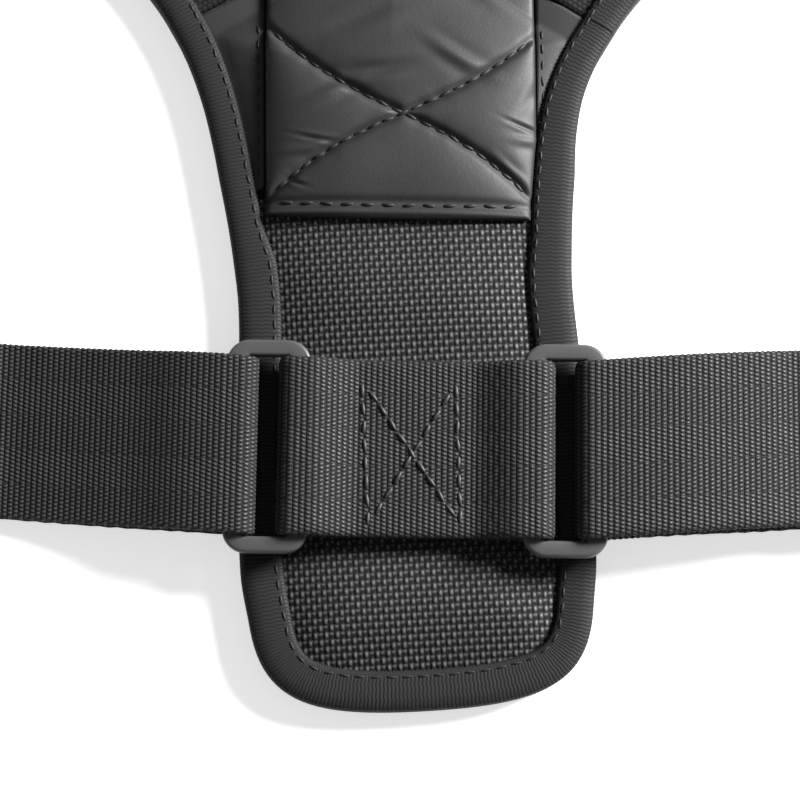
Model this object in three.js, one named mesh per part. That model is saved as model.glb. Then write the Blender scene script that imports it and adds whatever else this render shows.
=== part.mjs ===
// A padded posture corrector, laid open with its outer face up.
// Millimetres, +Z up, +Y towards the neck. The origin is on the flat underside of the back panel,
// midway between the two rings.
import * as THREE from 'three';
import { mergeVertices } from 'three/addons/utils/BufferGeometryUtils.js';

// Space between pieces that are sewn together or rest on each other
const clearance = 0.35;

// Cloth, tape and foam thicknesses
const faceCloth = 1.2;
const bindingWall = 1.0;
const bindingReach = 7.5;
const foamEdge = 1.4;
const panelCrown = 4.0;
const shoulderCrown = 3.2;
const quiltPuff = 1.1;
const quiltFalloff = 5;

// Webbing
const webWidth = 38;
const webThickness = 1.8;
const webFoldRadius = 2.0;
const webDropRun = 10;
const leftWebRise = 2.9;
const rightWebRise = 4.2;
const padOverlap = 34;
const leftTail = 54;
const rightTail = 43;

// Rings
const ringSpacing = 63.4;
const ringSideBar = 4.6;
const ringEndBar = 3.55;
const ringThickness = 3.0;
const ringCorner = 5;
const ringBevel = 0.7;
const slotCorner = 0.5;
const ringFreeGap = 4.6;

// Back panel, measured along its own centre line from the line through the rings
const waistHalf = 36;
const footDrop = 55.2;
const armpitRise = 96;
const armpitHalf = 50;
const shoulderWidth = 58;
const panelLean = 4.3;
const panelShift = -0.9;
const leanEnd = 64;
const straightenRun = 28;
const nylonRise = 58;
const keelFoot = 28;

// Leather panel, placed by the photo's upright
const leatherHalf = 29.8;
const hemRise = 51.5;
const hemCentre = -3.8;
const leatherLean = 1.4;
const hemBow = 0.8;
const leatherThin = 10;
const seamMargin = 2.4;
const quiltCrossRise = 74.4;
const quiltCrossX = -4.0;
const quiltSlope = 0.47;
const quiltBend = 0.000213;

// Side strips beside the leather
const stripStart = 63;

// Shoulder pads: three arcs and a straight end, up from the yoke and back down to the side web
const collarRadius = 90;
const loopShare = 0.56;
const padTipReach = 100;
const padTipRise = 4.2;
const padTipLength = 22;

// Mesh steps
const sideSteps = 12;
const yokeSteps = 6;
const endSteps = 7;
const seamSteps = 5;
const shoulderSteps = 24;
const foldSteps = 5;
const leatherSteps = 14;

// Half-widths of the panel: how far up, as a share of armpitRise (of footDrop below the rings),
// and half the width as a share of waistHalf
const panelWidths = [
  { up: -0.652, half: 1.017 },
  { up: -0.43, half: 1.058 },
  { up: 0, half: 1.036 },
  { up: 0.25, half: 1.003 },
  { up: 0.365, half: 0.995 },
  { up: 0.458, half: 1.011 },
  { up: 0.542, half: 1.033 },
  { up: 0.635, half: 1.067 },
  { up: 0.729, half: 1.106 },
  { up: 0.823, half: 1.167 },
  { up: 0.914, half: 1.261 },
  { up: 1, half: armpitHalf / waistHalf },
];

// How full the padding is along the panel, as a share of panelCrown
const panelFullness = [
  { up: -1, share: 0.35 },
  { up: -0.66, share: 0.9 },
  { up: -0.36, share: 0.45 },
  { up: 0, share: 0.38 },
  { up: 0.2, share: 0.43 },
  { up: 0.36, share: 0.85 },
  { up: 0.52, share: 0.6 },
  { up: 0.66, share: 0.9 },
  { up: 0.85, share: 1 },
  { up: 1.05, share: 0.8 },
  { up: 1.31, share: 0.35 },
];

// How full the padding is along a shoulder pad, as shares of its length and of shoulderCrown
const shoulderFullness = [
  { along: 0, share: 0.3 },
  { along: 0.1, share: 0.85 },
  { along: 0.5, share: 1 },
  { along: 0.84, share: 0.8 },
  { along: 0.92, share: 0.45 },
  { along: 1, share: 0.4 },
];

// Drop of the side webs outwards from the ring, as shares of the open run and of the fold's height
const leftWebFall = [
  { out: 0.12, main: 0.9, under: 0.8 },
  { out: 0.3, main: 0.62, under: 0.36 },
  { out: 0.6, main: 0.29, under: 0.02 },
  { out: 0.78, main: 0.22, under: 0 },
];
const rightWebFall = [
  { out: 0.12, main: 0.99, under: 0.96 },
  { out: 0.34, main: 0.93, under: 0.72 },
  { out: 0.62, main: 0.74, under: 0.12 },
  { out: 0.8, main: 0.58, under: 0 },
];

// Values worked out from the sizes above
const degrees = Math.PI / 180;
const foamTop = bindingWall + clearance + foamEdge;
const faceEdge = foamTop + clearance + faceCloth;
const bindingHeight = faceEdge + clearance + bindingWall;
const foamInset = bindingWall + clearance;
const faceInset = foamInset + 0.7;
const padInset = bindingReach + clearance;
const seamRise = Math.sqrt(shoulderWidth ** 2 - armpitHalf ** 2);
const neckRise = armpitRise + seamRise;
const seamHeading = Math.atan2(armpitHalf, seamRise);
const shoulderHalf = shoulderWidth / 2;
const slotWidth = ringFreeGap + 2 * (webThickness + clearance);
const slotLength = webWidth + 2 * clearance;
const ringWidth = slotWidth + 2 * ringSideBar;
const ringLength = slotLength + 2 * ringEndBar;
const ringX = ringSpacing / 2;

const clamp01 = (value) => Math.min(1, Math.max(0, value));
const mix = (a, b, share) => a + (b - a) * share;
const spread = (from, to, steps) =>
  Array.from({ length: steps + 1 }, (_, i) => mix(from, to, i / steps));

// Smooth value of a table's column, by cubic pieces through its rows
function tableValue(rows, key, column, at) {
  const last = rows.length - 1;
  if (at <= rows[0][key]) return rows[0][column];
  if (at >= rows[last][key]) return rows[last][column];
  const i = rows.findIndex((row) => row[key] > at) - 1;
  const slope = (j) => {
    const [a, b] = [rows[Math.max(0, j - 1)], rows[Math.min(last, j + 1)]];
    return (b[column] - a[column]) / (b[key] - a[key]);
  };
  const run = rows[i + 1][key] - rows[i][key];
  const t = (at - rows[i][key]) / run;
  return (2 * t ** 3 - 3 * t ** 2 + 1) * rows[i][column]
    + (t ** 3 - 2 * t ** 2 + t) * run * slope(i)
    + (3 * t ** 2 - 2 * t ** 3) * rows[i + 1][column]
    + (t ** 3 - t ** 2) * run * slope(i + 1);
}

// A solid from vertices and triangles: equal vertices are merged, empty triangles are dropped
// and the faces are turned to point out
function solid(points, triangles) {
  const loose = new THREE.BufferGeometry();
  loose.setAttribute('position', new THREE.Float32BufferAttribute(points.flatMap((p) => p.toArray()), 3));
  loose.setIndex(triangles.flat());
  const merged = mergeVertices(loose, 1e-3);
  const corners = merged.index.array;
  const place = merged.attributes.position;
  const kept = [];
  let volume = 0;
  const [a, b, c] = [new THREE.Vector3(), new THREE.Vector3(), new THREE.Vector3()];
  for (let i = 0; i < corners.length; i += 3) {
    const [p, q, r] = [corners[i], corners[i + 1], corners[i + 2]];
    if (p === q || q === r || r === p) continue;
    kept.push([p, q, r]);
    volume += a.fromBufferAttribute(place, p).dot(
      b.fromBufferAttribute(place, q).cross(c.fromBufferAttribute(place, r)));
  }
  merged.setIndex((volume > 0 ? kept : kept.map(([p, q, r]) => [p, r, q])).flat());
  merged.computeVertexNormals();
  return merged;
}

// A plate with its own lower and upper height at every grid point {x, y, low, high}.
// ring: the last row meets the first. keel: the inner ends of the rows meet along a line.
function plate(grid, { ring = false, keel = false } = {}) {
  const [rows, across] = [grid.length, grid[0].length];
  const points = [];
  grid.forEach((row) => row.forEach((g) => {
    points.push(new THREE.Vector3(g.x, g.y, g.low), new THREE.Vector3(g.x, g.y, g.high));
  }));
  const low = (i, k) => 2 * ((i % rows) * across + k);
  const high = (i, k) => low(i, k) + 1;
  const triangles = [];
  const quad = (a, b, c, d) => triangles.push([a, b, c], [a, c, d]);
  const rowGaps = ring ? rows : rows - 1;
  for (let i = 0; i < rowGaps; i += 1) {
    for (let k = 0; k < across - 1; k += 1) {
      quad(high(i, k), high(i + 1, k), high(i + 1, k + 1), high(i, k + 1));
      quad(low(i, k), low(i, k + 1), low(i + 1, k + 1), low(i + 1, k));
    }
    quad(high(i, 0), low(i, 0), low(i + 1, 0), high(i + 1, 0));
    if (!keel) quad(high(i, across - 1), high(i + 1, across - 1), low(i + 1, across - 1), low(i, across - 1));
  }
  if (!ring) {
    for (let k = 0; k < across - 1; k += 1) {
      quad(high(0, k), high(0, k + 1), low(0, k + 1), low(0, k));
      quad(high(rows - 1, k), low(rows - 1, k), low(rows - 1, k + 1), high(rows - 1, k + 1));
    }
  }
  return solid(points, triangles);
}

// A section swept along stations {origin, a, b}: each section point lies at origin + a*p + b*q
function sweep(stations, section) {
  const points = stations.flatMap(({ origin, a, b }) =>
    section.map(([p, q]) => origin.clone().addScaledVector(a, p).addScaledVector(b, q)));
  const size = section.length;
  const triangles = [];
  for (let i = 0; i < stations.length - 1; i += 1) {
    for (let k = 0; k < size; k += 1) {
      const [a, b] = [i * size + k, i * size + ((k + 1) % size)];
      triangles.push([a, b, b + size], [a, b + size, a + size]);
    }
  }
  const end = (stations.length - 1) * size;
  const faces = THREE.ShapeUtils.triangulateShape(section.map(([p, q]) => new THREE.Vector2(p, q)), []);
  const turned = THREE.ShapeUtils.area(section.map(([p, q]) => new THREE.Vector2(p, q))) > 0;
  faces.forEach(([a, b, c]) => {
    triangles.push(turned ? [a, c, b] : [a, b, c]);
    triangles.push(turned ? [end + a, end + b, end + c] : [end + a, end + c, end + b]);
  });
  return solid(points, triangles);
}

// A route of straights and clockwise turns, walked to a distance along it
function walk(route, along) {
  let { x, y, heading } = route.start;
  let left = along;
  for (const { length, turn = 0 } of route.legs) {
    if (left <= 0) break;
    const run = Math.min(left, length);
    const angle = turn * (run / length);
    const chord = turn === 0 ? run : (2 * (length / turn)) * Math.sin(angle / 2);
    x += chord * Math.cos(heading - angle / 2);
    y += chord * Math.sin(heading - angle / 2);
    heading -= angle;
    left -= run;
  }
  const rest = along < 0 ? along : Math.max(0, left);
  return { x: x + rest * Math.cos(heading), y: y + rest * Math.sin(heading), heading };
}

// A point beside a route, across to its right
function beside(route, across, along) {
  const { x, y, heading } = walk(route, along);
  return [x + across * Math.sin(heading), y - across * Math.cos(heading)];
}

// The rounded end of a pad, from its right side round to its left: [across, beyond the straight sides]
function roundedEnd(half, length, squareness) {
  const curve = new THREE.CubicBezierCurve(
    new THREE.Vector2(half, 0), new THREE.Vector2(half * squareness, length * 0.83),
    new THREE.Vector2(half * 0.656, length), new THREE.Vector2(0, length));
  const right = spread(0, 1, endSteps).map((t) => curve.getPoint(t)).map((p) => [p.x, p.y]);
  const left = right.slice(0, -1).reverse().map(([across, beyond]) => [-across, beyond]);
  return [...right, ...left];
}

// The panel's own frame: a leaning centre line that straightens below the yoke
const panelRoute = {
  start: { x: panelShift, y: 0, heading: (90 + panelLean) * degrees },
  legs: [{ length: leanEnd }, { length: straightenRun, turn: panelLean * degrees }],
};
const onPanel = (across, up) => beside(panelRoute, across, up);
const yokeX = onPanel(0, armpitRise)[0];

// Where a point of the surface lies in the panel's own frame
function intoPanel(x, y) {
  let [across, up] = [x - panelShift, y];
  for (let i = 0; i < 6; i += 1) {
    const [px, py] = onPanel(across, up);
    across += x - px;
    up += y - py;
  }
  return [across, up];
}

function panelHalf(up) {
  return waistHalf * tableValue(panelWidths, 'up', 'half', up / (up < 0 ? footDrop : armpitRise));
}

const footStart = panelWidths[0].up * footDrop;
const footHalf = panelWidths[0].half * waistHalf;
const footLength = footDrop + footStart;

// Rim samples: the place, the way in from a bound edge and from a sewn seam, and the keel point
// that the row of the mesh runs to
function rimSample(at, bound, sewn, keel) {
  return { at, bound, sewn, keel };
}

function inwardOf(before, after) {
  const [dx, dy] = [after[0] - before[0], after[1] - before[1]];
  const length = Math.hypot(dx, dy);
  return [-dy / length, dx / length];
}

// Rim samples of a chain of points that runs anticlockwise, with its keel limits
function boundRim(points, low, high) {
  return points.map((at, i) => {
    const before = points[Math.max(0, i - 1)];
    const after = points[Math.min(points.length - 1, i + 1)];
    return rimSample(at, inwardOf(before, after), [0, 0], [0, Math.min(high, Math.max(low, at[1]))]);
  });
}

// The panel's rim, anticlockwise: down the left side, round the foot and up the right side
const sideRows = [
  ...spread(footStart, nylonRise, sideSteps),
  ...spread(nylonRise, armpitRise, yokeSteps).slice(1),
];
const leftSide = [...sideRows].reverse().map((up) => [-panelHalf(up), up]);
const rightSide = sideRows.map((up) => [panelHalf(up), up]);
const foot = roundedEnd(footHalf, footLength, 0.94).slice(1, -1)
  .map(([across, beyond]) => [-across, footStart - beyond]);
const panelRim = boundRim([...leftSide, ...foot, ...rightSide], -keelFoot, armpitRise);

// The two shoulder seams that close the yoke, from the right armpit to the neck and down again
function seamRim() {
  const into = [-Math.cos(seamHeading), -Math.sin(seamHeading)];
  const alongSeam = [-Math.sin(seamHeading), Math.cos(seamHeading)];
  const right = spread(0, 1, seamSteps).slice(1, -1).map((share) => rimSample(
    [mix(armpitHalf, 0, share), mix(armpitRise, neckRise, share)], [0, 0], into, [0, armpitRise]));
  const neck = rimSample([0, neckRise], [0, 0], [0, -1 / Math.sin(seamHeading)], [0, armpitRise]);
  const mirrored = ({ at, bound, sewn, keel }) =>
    rimSample([-at[0], at[1]], [-bound[0], bound[1]], [-sewn[0], sewn[1]], keel);
  return { right, neck, left: [...right].reverse().map(mirrored), into, alongSeam };
}

const seams = seamRim();
const [leftArmpit, rightArmpit] = [panelRim[0], panelRim[panelRim.length - 1]];
rightArmpit.bound = seams.alongSeam;
rightArmpit.sewn = seams.into;
leftArmpit.bound = [-seams.alongSeam[0], seams.alongSeam[1]];
leftArmpit.sewn = [-seams.into[0], seams.into[1]];
const padRim = [...panelRim, ...seams.right, seams.neck, ...seams.left];

// Distance from a point of the panel to its rim
function rimDistance(across, up) {
  let nearest = Infinity;
  padRim.forEach(({ at }, i) => {
    const next = padRim[(i + 1) % padRim.length].at;
    const [dx, dy] = [next[0] - at[0], next[1] - at[1]];
    const t = clamp01(((across - at[0]) * dx + (up - at[1]) * dy) / (dx * dx + dy * dy));
    nearest = Math.min(nearest, Math.hypot(across - at[0] - t * dx, up - at[1] - t * dy));
  });
  return nearest;
}

// Height of the panel's cloth face: level under the binding, then crowned
const crownRun = waistHalf - padInset - 4;
function faceHeight(across, up) {
  const share = tableValue(panelFullness, 'up', 'share', up / (up < 0 ? footDrop : armpitRise));
  const inside = clamp01((rimDistance(across, up) - padInset) / crownRun);
  return faceEdge + panelCrown * share * Math.sin((inside * Math.PI) / 2);
}

// Rows of a pad's mesh: from the rim in to the keel
const innerShares = [0, 0.25, 0.52, 0.78, 1];
function padRow(sample, edgeInset, seamInset, shares) {
  const { at, bound, sewn, keel } = sample;
  const edge = [0, 1].map((n) => at[n] + bound[n] * edgeInset + (sewn[n] * clearance) / 2);
  const inner = [0, 1].map((n) => at[n] + bound[n] * padInset + sewn[n] * seamInset);
  return [edge, ...shares.map((share) => [mix(inner[0], keel[0], share), mix(inner[1], keel[1], share)])];
}

function backPad() {
  const grid = padRim.map((sample) => padRow(sample, foamInset, padInset, innerShares).map(([across, up], k) => {
    const [x, y] = onPanel(across, up);
    const low = k < 2 ? bindingWall + clearance : 0;
    return { x, y, low, high: faceHeight(across, up) - faceCloth - clearance };
  }));
  return plate(grid, { ring: true, keel: true });
}

function nylonPanel() {
  const covered = panelRim.filter(({ at }) => at[1] <= nylonRise + 1e-6);
  const grid = covered.map((sample) => padRow(sample, faceInset, padInset, innerShares).map(([across, up]) => {
    const [x, y] = onPanel(across, up);
    const high = faceHeight(across, up);
    return { x, y, low: high - faceCloth, high };
  }));
  return plate(grid, { keel: true });
}

// Distance to the nearer of the two crossing quilt seams
function quiltDistance(x, y) {
  const away = (side) => {
    const t = side * (x - quiltCrossX);
    const seam = quiltCrossRise + quiltSlope * t + quiltBend * t ** 3;
    const slope = quiltSlope + 3 * quiltBend * t ** 2;
    return Math.abs(y - seam) / Math.hypot(1, slope);
  };
  return Math.min(away(1), away(-1));
}

// Sideways edges of the leather: upright, but never over the binding
function leatherEdge(side, y) {
  const edge = hemCentre - (y - hemRise) * Math.tan(leatherLean * degrees) + side * leatherHalf;
  const up = intoPanel(edge, y)[1];
  const bound = onPanel(side * (panelHalf(up) - padInset), up)[0];
  return side * Math.min(side * edge, side * bound);
}

// Where the yoke's cloth ends under the seam, at a share of the leather's half-width from the middle
const seamEdge = (share) =>
  neckRise - clearance - seamMargin - (Math.abs(share) * leatherHalf) / Math.tan(seamHeading);

function leatherPanel() {
  const lapRows = [0, leatherThin / 2, leatherThin, leatherThin + 2];
  const grid = [...lapRows, ...spread(0, 1, leatherSteps).slice(1)].map((row, j) =>
    spread(-1, 1, leatherSteps).map((column) => {
      const hem = hemRise + hemBow * (column ** 2 - 1);
      const top = seamEdge(column);
      const y = j < lapRows.length ? hem + row : mix(hem + leatherThin + 2, top, row);
      const x = mix(leatherEdge(-1, y), leatherEdge(1, y), (column + 1) / 2);
      const face = faceHeight(...intoPanel(x, y));
      const edge = Math.min((1 - Math.abs(column)) * leatherHalf, y - hem, top - y);
      const inside = Math.max(0, Math.min(edge, quiltDistance(x, y)));
      const low = j < lapRows.length - 1 ? face + clearance : face - faceCloth;
      const puff = quiltPuff * (1 - Math.exp(-inside / quiltFalloff));
      return { x, y, low, high: face + clearance + faceCloth + puff };
    }));
  return plate(grid);
}

function sideStrip(side) {
  const grid = spread(0, 1, yokeSteps).map((row) => {
    const outerUp = mix(stripStart, armpitRise - clearance, row);
    const [outerX, outerY] = onPanel(side * (panelHalf(outerUp) - faceInset), outerUp);
    const innerY = mix(stripStart, seamEdge(1), row);
    const innerX = leatherEdge(side, innerY) + side * clearance;
    return spread(0, 1, 2).map((share) => {
      const [x, y] = [mix(innerX, outerX, share), mix(innerY, outerY, share)];
      const high = faceHeight(...intoPanel(x, y));
      return { x, y, low: high - faceCloth, high };
    });
  });
  return plate(grid);
}

// The tape folded over an edge: along the underside, round the edge and back over the top
const bindingSection = [
  [bindingReach, 0], [bindingWall * 0.6, 0], [0, bindingWall * 0.6], [0, bindingHeight - bindingWall * 0.7],
  [bindingWall * 0.7, bindingHeight], [bindingReach, bindingHeight],
  [bindingReach, bindingHeight - bindingWall], [bindingWall, bindingHeight - bindingWall],
  [bindingWall, bindingWall], [bindingReach, bindingWall],
];

function binding(rim, toSurface) {
  const up = new THREE.Vector3(0, 0, 1);
  const stations = rim.map(({ at, bound, sewn }) => {
    const shift = clearance / 2;
    const here = toSurface(at[0] + sewn[0] * shift, at[1] + sewn[1] * shift);
    const there = toSurface(at[0] + sewn[0] * shift + bound[0], at[1] + sewn[1] * shift + bound[1]);
    return {
      origin: new THREE.Vector3(here[0], here[1], 0),
      a: new THREE.Vector3(there[0] - here[0], there[1] - here[1], 0),
      b: up,
    };
  });
  return sweep(stations, bindingSection);
}

// A shoulder pad's route, from the middle of its seam, in the yoke's frame for the right side
const collarEnd = {
  x: armpitHalf / 2 + collarRadius * Math.sin(seamHeading),
  y: armpitRise + seamRise / 2 + collarRadius * (1 - Math.cos(seamHeading)),
};
const yokeY = onPanel(0, armpitRise)[1] - armpitRise;
const loopDrop = collarEnd.y + yokeY - padTipRise;
const outerRadius = loopDrop * loopShare;
const innerRadius = loopDrop - outerRadius;
const straightEnd = collarEnd.x + outerRadius - innerRadius - padTipReach - padTipLength;
const shoulderRoute = {
  start: { x: armpitHalf / 2, y: armpitRise + seamRise / 2 + yokeY, heading: seamHeading },
  legs: [
    { length: collarRadius * seamHeading, turn: seamHeading },
    { length: (outerRadius * Math.PI) / 2, turn: Math.PI / 2 },
    { length: (innerRadius * Math.PI) / 2, turn: Math.PI / 2 },
    { length: straightEnd },
  ],
};
const shoulderLength = shoulderRoute.legs.reduce((sum, leg) => sum + leg.length, 0);
const shoulderRows = spread(0, shoulderLength, shoulderSteps);
const shoulderSides = {
  armhole: shoulderRows.map((along) => [shoulderHalf, along]),
  neck: [...shoulderRows].reverse().map((along) => [-shoulderHalf, along]),
};
const padTip = roundedEnd(shoulderHalf, padTipLength, 1).slice(1, -1)
  .map(([across, beyond]) => [across, shoulderLength + beyond]);
const shoulderRim = boundRim([...shoulderSides.armhole, ...padTip, ...shoulderSides.neck], 0, shoulderLength);
[shoulderRim[0], shoulderRim[shoulderRim.length - 1]].forEach((sample) => {
  sample.bound = [-Math.sign(sample.at[0]), 0];
  sample.sewn = [0, 1];
  sample.keel = [0, clearance / 2];
});
const onShoulder = (side) => (across, along) => {
  const [x, y] = beside(shoulderRoute, across, along);
  return [yokeX + side * x, y];
};

function shoulderHeight(across, along) {
  const share = tableValue(shoulderFullness, 'along', 'share', along / (shoulderLength + padTipLength));
  const beyond = Math.max(0, along - shoulderLength);
  const inside = shoulderHalf - padInset - Math.hypot(across, beyond * shoulderHalf / padTipLength);
  return foamTop + shoulderCrown * share * Math.sin((clamp01(inside / (shoulderHalf - padInset)) * Math.PI) / 2);
}

const shoulderShares = [0, 0.5, 1];
function shoulderPad(side) {
  const grid = shoulderRim.map((sample) => padRow(sample, foamInset, clearance / 2, shoulderShares).map((local, k) => {
    const [across, along] = local;
    const [x, y] = onShoulder(side)(across, along);
    const low = k < 2 ? bindingWall + clearance : 0;
    const high = k < 1 ? foamTop + faceCloth : shoulderHeight(across, along) + faceCloth + clearance;
    return { x, y, low, high };
  }));
  return plate(grid, { keel: true });
}

// Heights of the webbing, at the middle of its thickness
const webFloor = Math.max(...spread(-webWidth / 2, webWidth / 2, 8).map((up) => faceHeight(0, up)));
const underLayer = webFloor + clearance + webThickness / 2;
const ringFloor = underLayer + webThickness / 2 + clearance;
const overLayer = ringFloor + ringThickness + clearance + webThickness / 2;
const stackLayer = underLayer + webThickness + clearance;
const padLayer = foamTop + shoulderCrown + faceCloth + 2 * clearance + webThickness / 2;
const foldX = clearance + webThickness / 2;

// Half of a fold round a bar: from the underside, round the bar's slot side to its upper side
function foldPath(x, direction) {
  const centre = (overLayer + underLayer) / 2;
  const rise = (overLayer - underLayer) / 2 - webFoldRadius;
  const corner = (start, side) => spread(0, 1, foldSteps).map((t) => {
    const angle = (start + t * 90) * degrees;
    return [x + direction * webFoldRadius * (Math.cos(angle) - 1),
      centre + side * rise + webFoldRadius * Math.sin(angle)];
  });
  return [...corner(-90, -1), ...corner(0, 1)];
}

// A band of webbing along a path of [x, z], drawn upwards at an angle as it runs out from the ring
function webBand(path, drift) {
  const stations = path.map(([x, z], i) => {
    const [x0, z0] = path[Math.max(0, i - 1)];
    const [x1, z1] = path[Math.min(path.length - 1, i + 1)];
    const before = new THREE.Vector2(x - x0, z - z0).normalize();
    const after = new THREE.Vector2(x1 - x, z1 - z).normalize();
    const along = before.clone().add(after).normalize();
    const mitre = 1 / Math.max(0.7, Math.abs(along.dot(i === 0 ? after : before)));
    return {
      origin: new THREE.Vector3(x, drift(x), z),
      a: new THREE.Vector3(0, 1, 0),
      b: new THREE.Vector3(-along.y * mitre, 0, along.x * mitre),
    };
  });
  const [w, t] = [webWidth / 2, webThickness / 2];
  return sweep(stations, [[-w, -t], [w, -t], [w, t], [-w, t]]);
}

// Smooth fall from one height to another along x
function ease(from, to, steps) {
  return spread(0, 1, steps).map((t) => [mix(from[0], to[0], t), mix(from[1], to[1], t * t * (3 - 2 * t))]);
}

function centreWeb() {
  const barX = ringX - slotWidth / 2 + foldX;
  const topStart = ringX - ringWidth / 2 - clearance;
  const right = [
    [clearance, underLayer], ...foldPath(barX, 1),
    ...ease([topStart, overLayer], [topStart - webDropRun, stackLayer], 8),
  ];
  const left = [...right].reverse().map(([x, z]) => [-x, z]);
  return webBand([...right, ...left], () => 0);
}

function sideWeb(side) {
  const fall = side < 0 ? leftWebFall : rightWebFall;
  const rise = Math.tan((side < 0 ? leftWebRise : rightWebRise) * degrees);
  const tail = side < 0 ? leftTail : rightTail;
  const barX = ringX + slotWidth / 2 - foldX;
  const open = ringX + ringWidth / 2 + webThickness / 2;
  const tip = padTipReach + side * yokeX;
  const lying = webThickness / 2;
  const wayOut = (share) => mix(open, tip, share);
  const onPad = [[tip + padOverlap, padLayer], [tip + 3, padLayer], [tip - 2, padLayer]];
  const mainRows = [...fall].reverse().map(({ out, main }) => [wayOut(out), overLayer * main]);
  const underRows = fall.map(({ out, under }) => [wayOut(out), mix(lying, underLayer, under)]);
  const smooth = (rows) => {
    const table = rows.map(([at, z]) => ({ at, z })).sort((p, q) => p.at - q.at);
    const [low, high] = [table[0].at, table[table.length - 1].at];
    return spread(low, high, 12).map((at) => [at, tableValue(table, 'at', 'z', at)]);
  };
  const main = smooth([...onPad.slice(2), ...mainRows, [open, overLayer]]).reverse();
  const under = smooth([[open, underLayer], ...underRows]);
  const path = [
    ...onPad.slice(0, 2), ...main,
    ...foldPath(barX, -1).reverse(),
    ...under, [open + tail, lying],
  ];
  return webBand(path.map(([x, z]) => [side * x, z]), (x) => Math.max(0, Math.abs(x) - ringX - slotWidth / 2) * rise);
}

function roundedRectangle(path, width, length, radius) {
  const [w, l] = [width / 2, length / 2];
  path.moveTo(w, -l + radius);
  path.lineTo(w, l - radius);
  path.absarc(w - radius, l - radius, radius, 0, Math.PI / 2, false);
  path.lineTo(-w + radius, l);
  path.absarc(-w + radius, l - radius, radius, Math.PI / 2, Math.PI, false);
  path.lineTo(-w, -l + radius);
  path.absarc(-w + radius, -l + radius, radius, Math.PI, Math.PI * 1.5, false);
  path.lineTo(w - radius, -l);
  path.absarc(w - radius, -l + radius, radius, Math.PI * 1.5, Math.PI * 2, false);
  return path;
}

function ring() {
  const shape = roundedRectangle(new THREE.Shape(), ringWidth - 2 * ringBevel, ringLength - 2 * ringBevel,
    ringCorner - ringBevel);
  shape.holes.push(roundedRectangle(new THREE.Path(), slotWidth + 2 * ringBevel, slotLength + 2 * ringBevel,
    ringBevel + slotCorner));
  const bar = new THREE.ExtrudeGeometry(shape, {
    depth: ringThickness - 2 * ringBevel, bevelThickness: ringBevel, bevelSize: ringBevel,
    bevelSegments: 2, curveSegments: 5,
  });
  bar.deleteAttribute('normal');
  bar.deleteAttribute('uv');
  return mergeVertices(bar, 1e-3).translate(0, 0, ringBevel);
}

const nylonBlack = new THREE.MeshStandardMaterial({ color: 0x2c2c2d, roughness: 0.85 });
const leatherGrey = new THREE.MeshStandardMaterial({ color: 0x3b3b3c, roughness: 0.5 });
const stripGrey = new THREE.MeshStandardMaterial({ color: 0x454546, roughness: 0.7 });
const tapeBlack = new THREE.MeshStandardMaterial({ color: 0x2f2f30, roughness: 0.8 });
const foamCloth = new THREE.MeshStandardMaterial({ color: 0x333334, roughness: 0.9 });
const webBlack = new THREE.MeshStandardMaterial({ color: 0x29292a, roughness: 0.8 });
const ringGrey = new THREE.MeshStandardMaterial({ color: 0x4b4b4c, roughness: 0.45 });

const brace = new THREE.Group();

function add(name, geometry, material) {
  const mesh = new THREE.Mesh(geometry, material.clone());
  mesh.name = name;
  brace.add(mesh);
  return mesh;
}

add('back_pad', backPad(), foamCloth);
add('nylon_panel', nylonPanel(), nylonBlack);
add('leather_panel', leatherPanel(), leatherGrey);
add('panel_binding', binding(panelRim, onPanel), tapeBlack);
add('centre_web', centreWeb(), webBlack);
[['left', -1], ['right', 1]].forEach(([name, side]) => {
  add(`side_strip_${name}`, sideStrip(side), stripGrey);
  add(`shoulder_pad_${name}`, shoulderPad(side), foamCloth);
  add(`shoulder_binding_${name}`, binding(shoulderRim, onShoulder(side)), tapeBlack);
  add(`ring_${name}`, ring(), ringGrey).position.set(side * ringX, 0, ringFloor);
  add(`side_web_${name}`, sideWeb(side), webBlack);
});

export default brace;
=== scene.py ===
# %% [markdown]
# # A padded posture corrector, laid open
# The brace lies on its back: a rounded back panel faced with coarse woven nylon and quilted
# leatherette, two shoulder pads that curve away to the sides, and webbing that runs through two
# moulded rings. The solid model gives every piece its size and place. This lesson gives each piece
# its cloth, thread and plastic.

# %% Loading the frame
import math

import bmesh
import bpy
import numpy as np
from mathutils import Matrix, Vector


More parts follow.
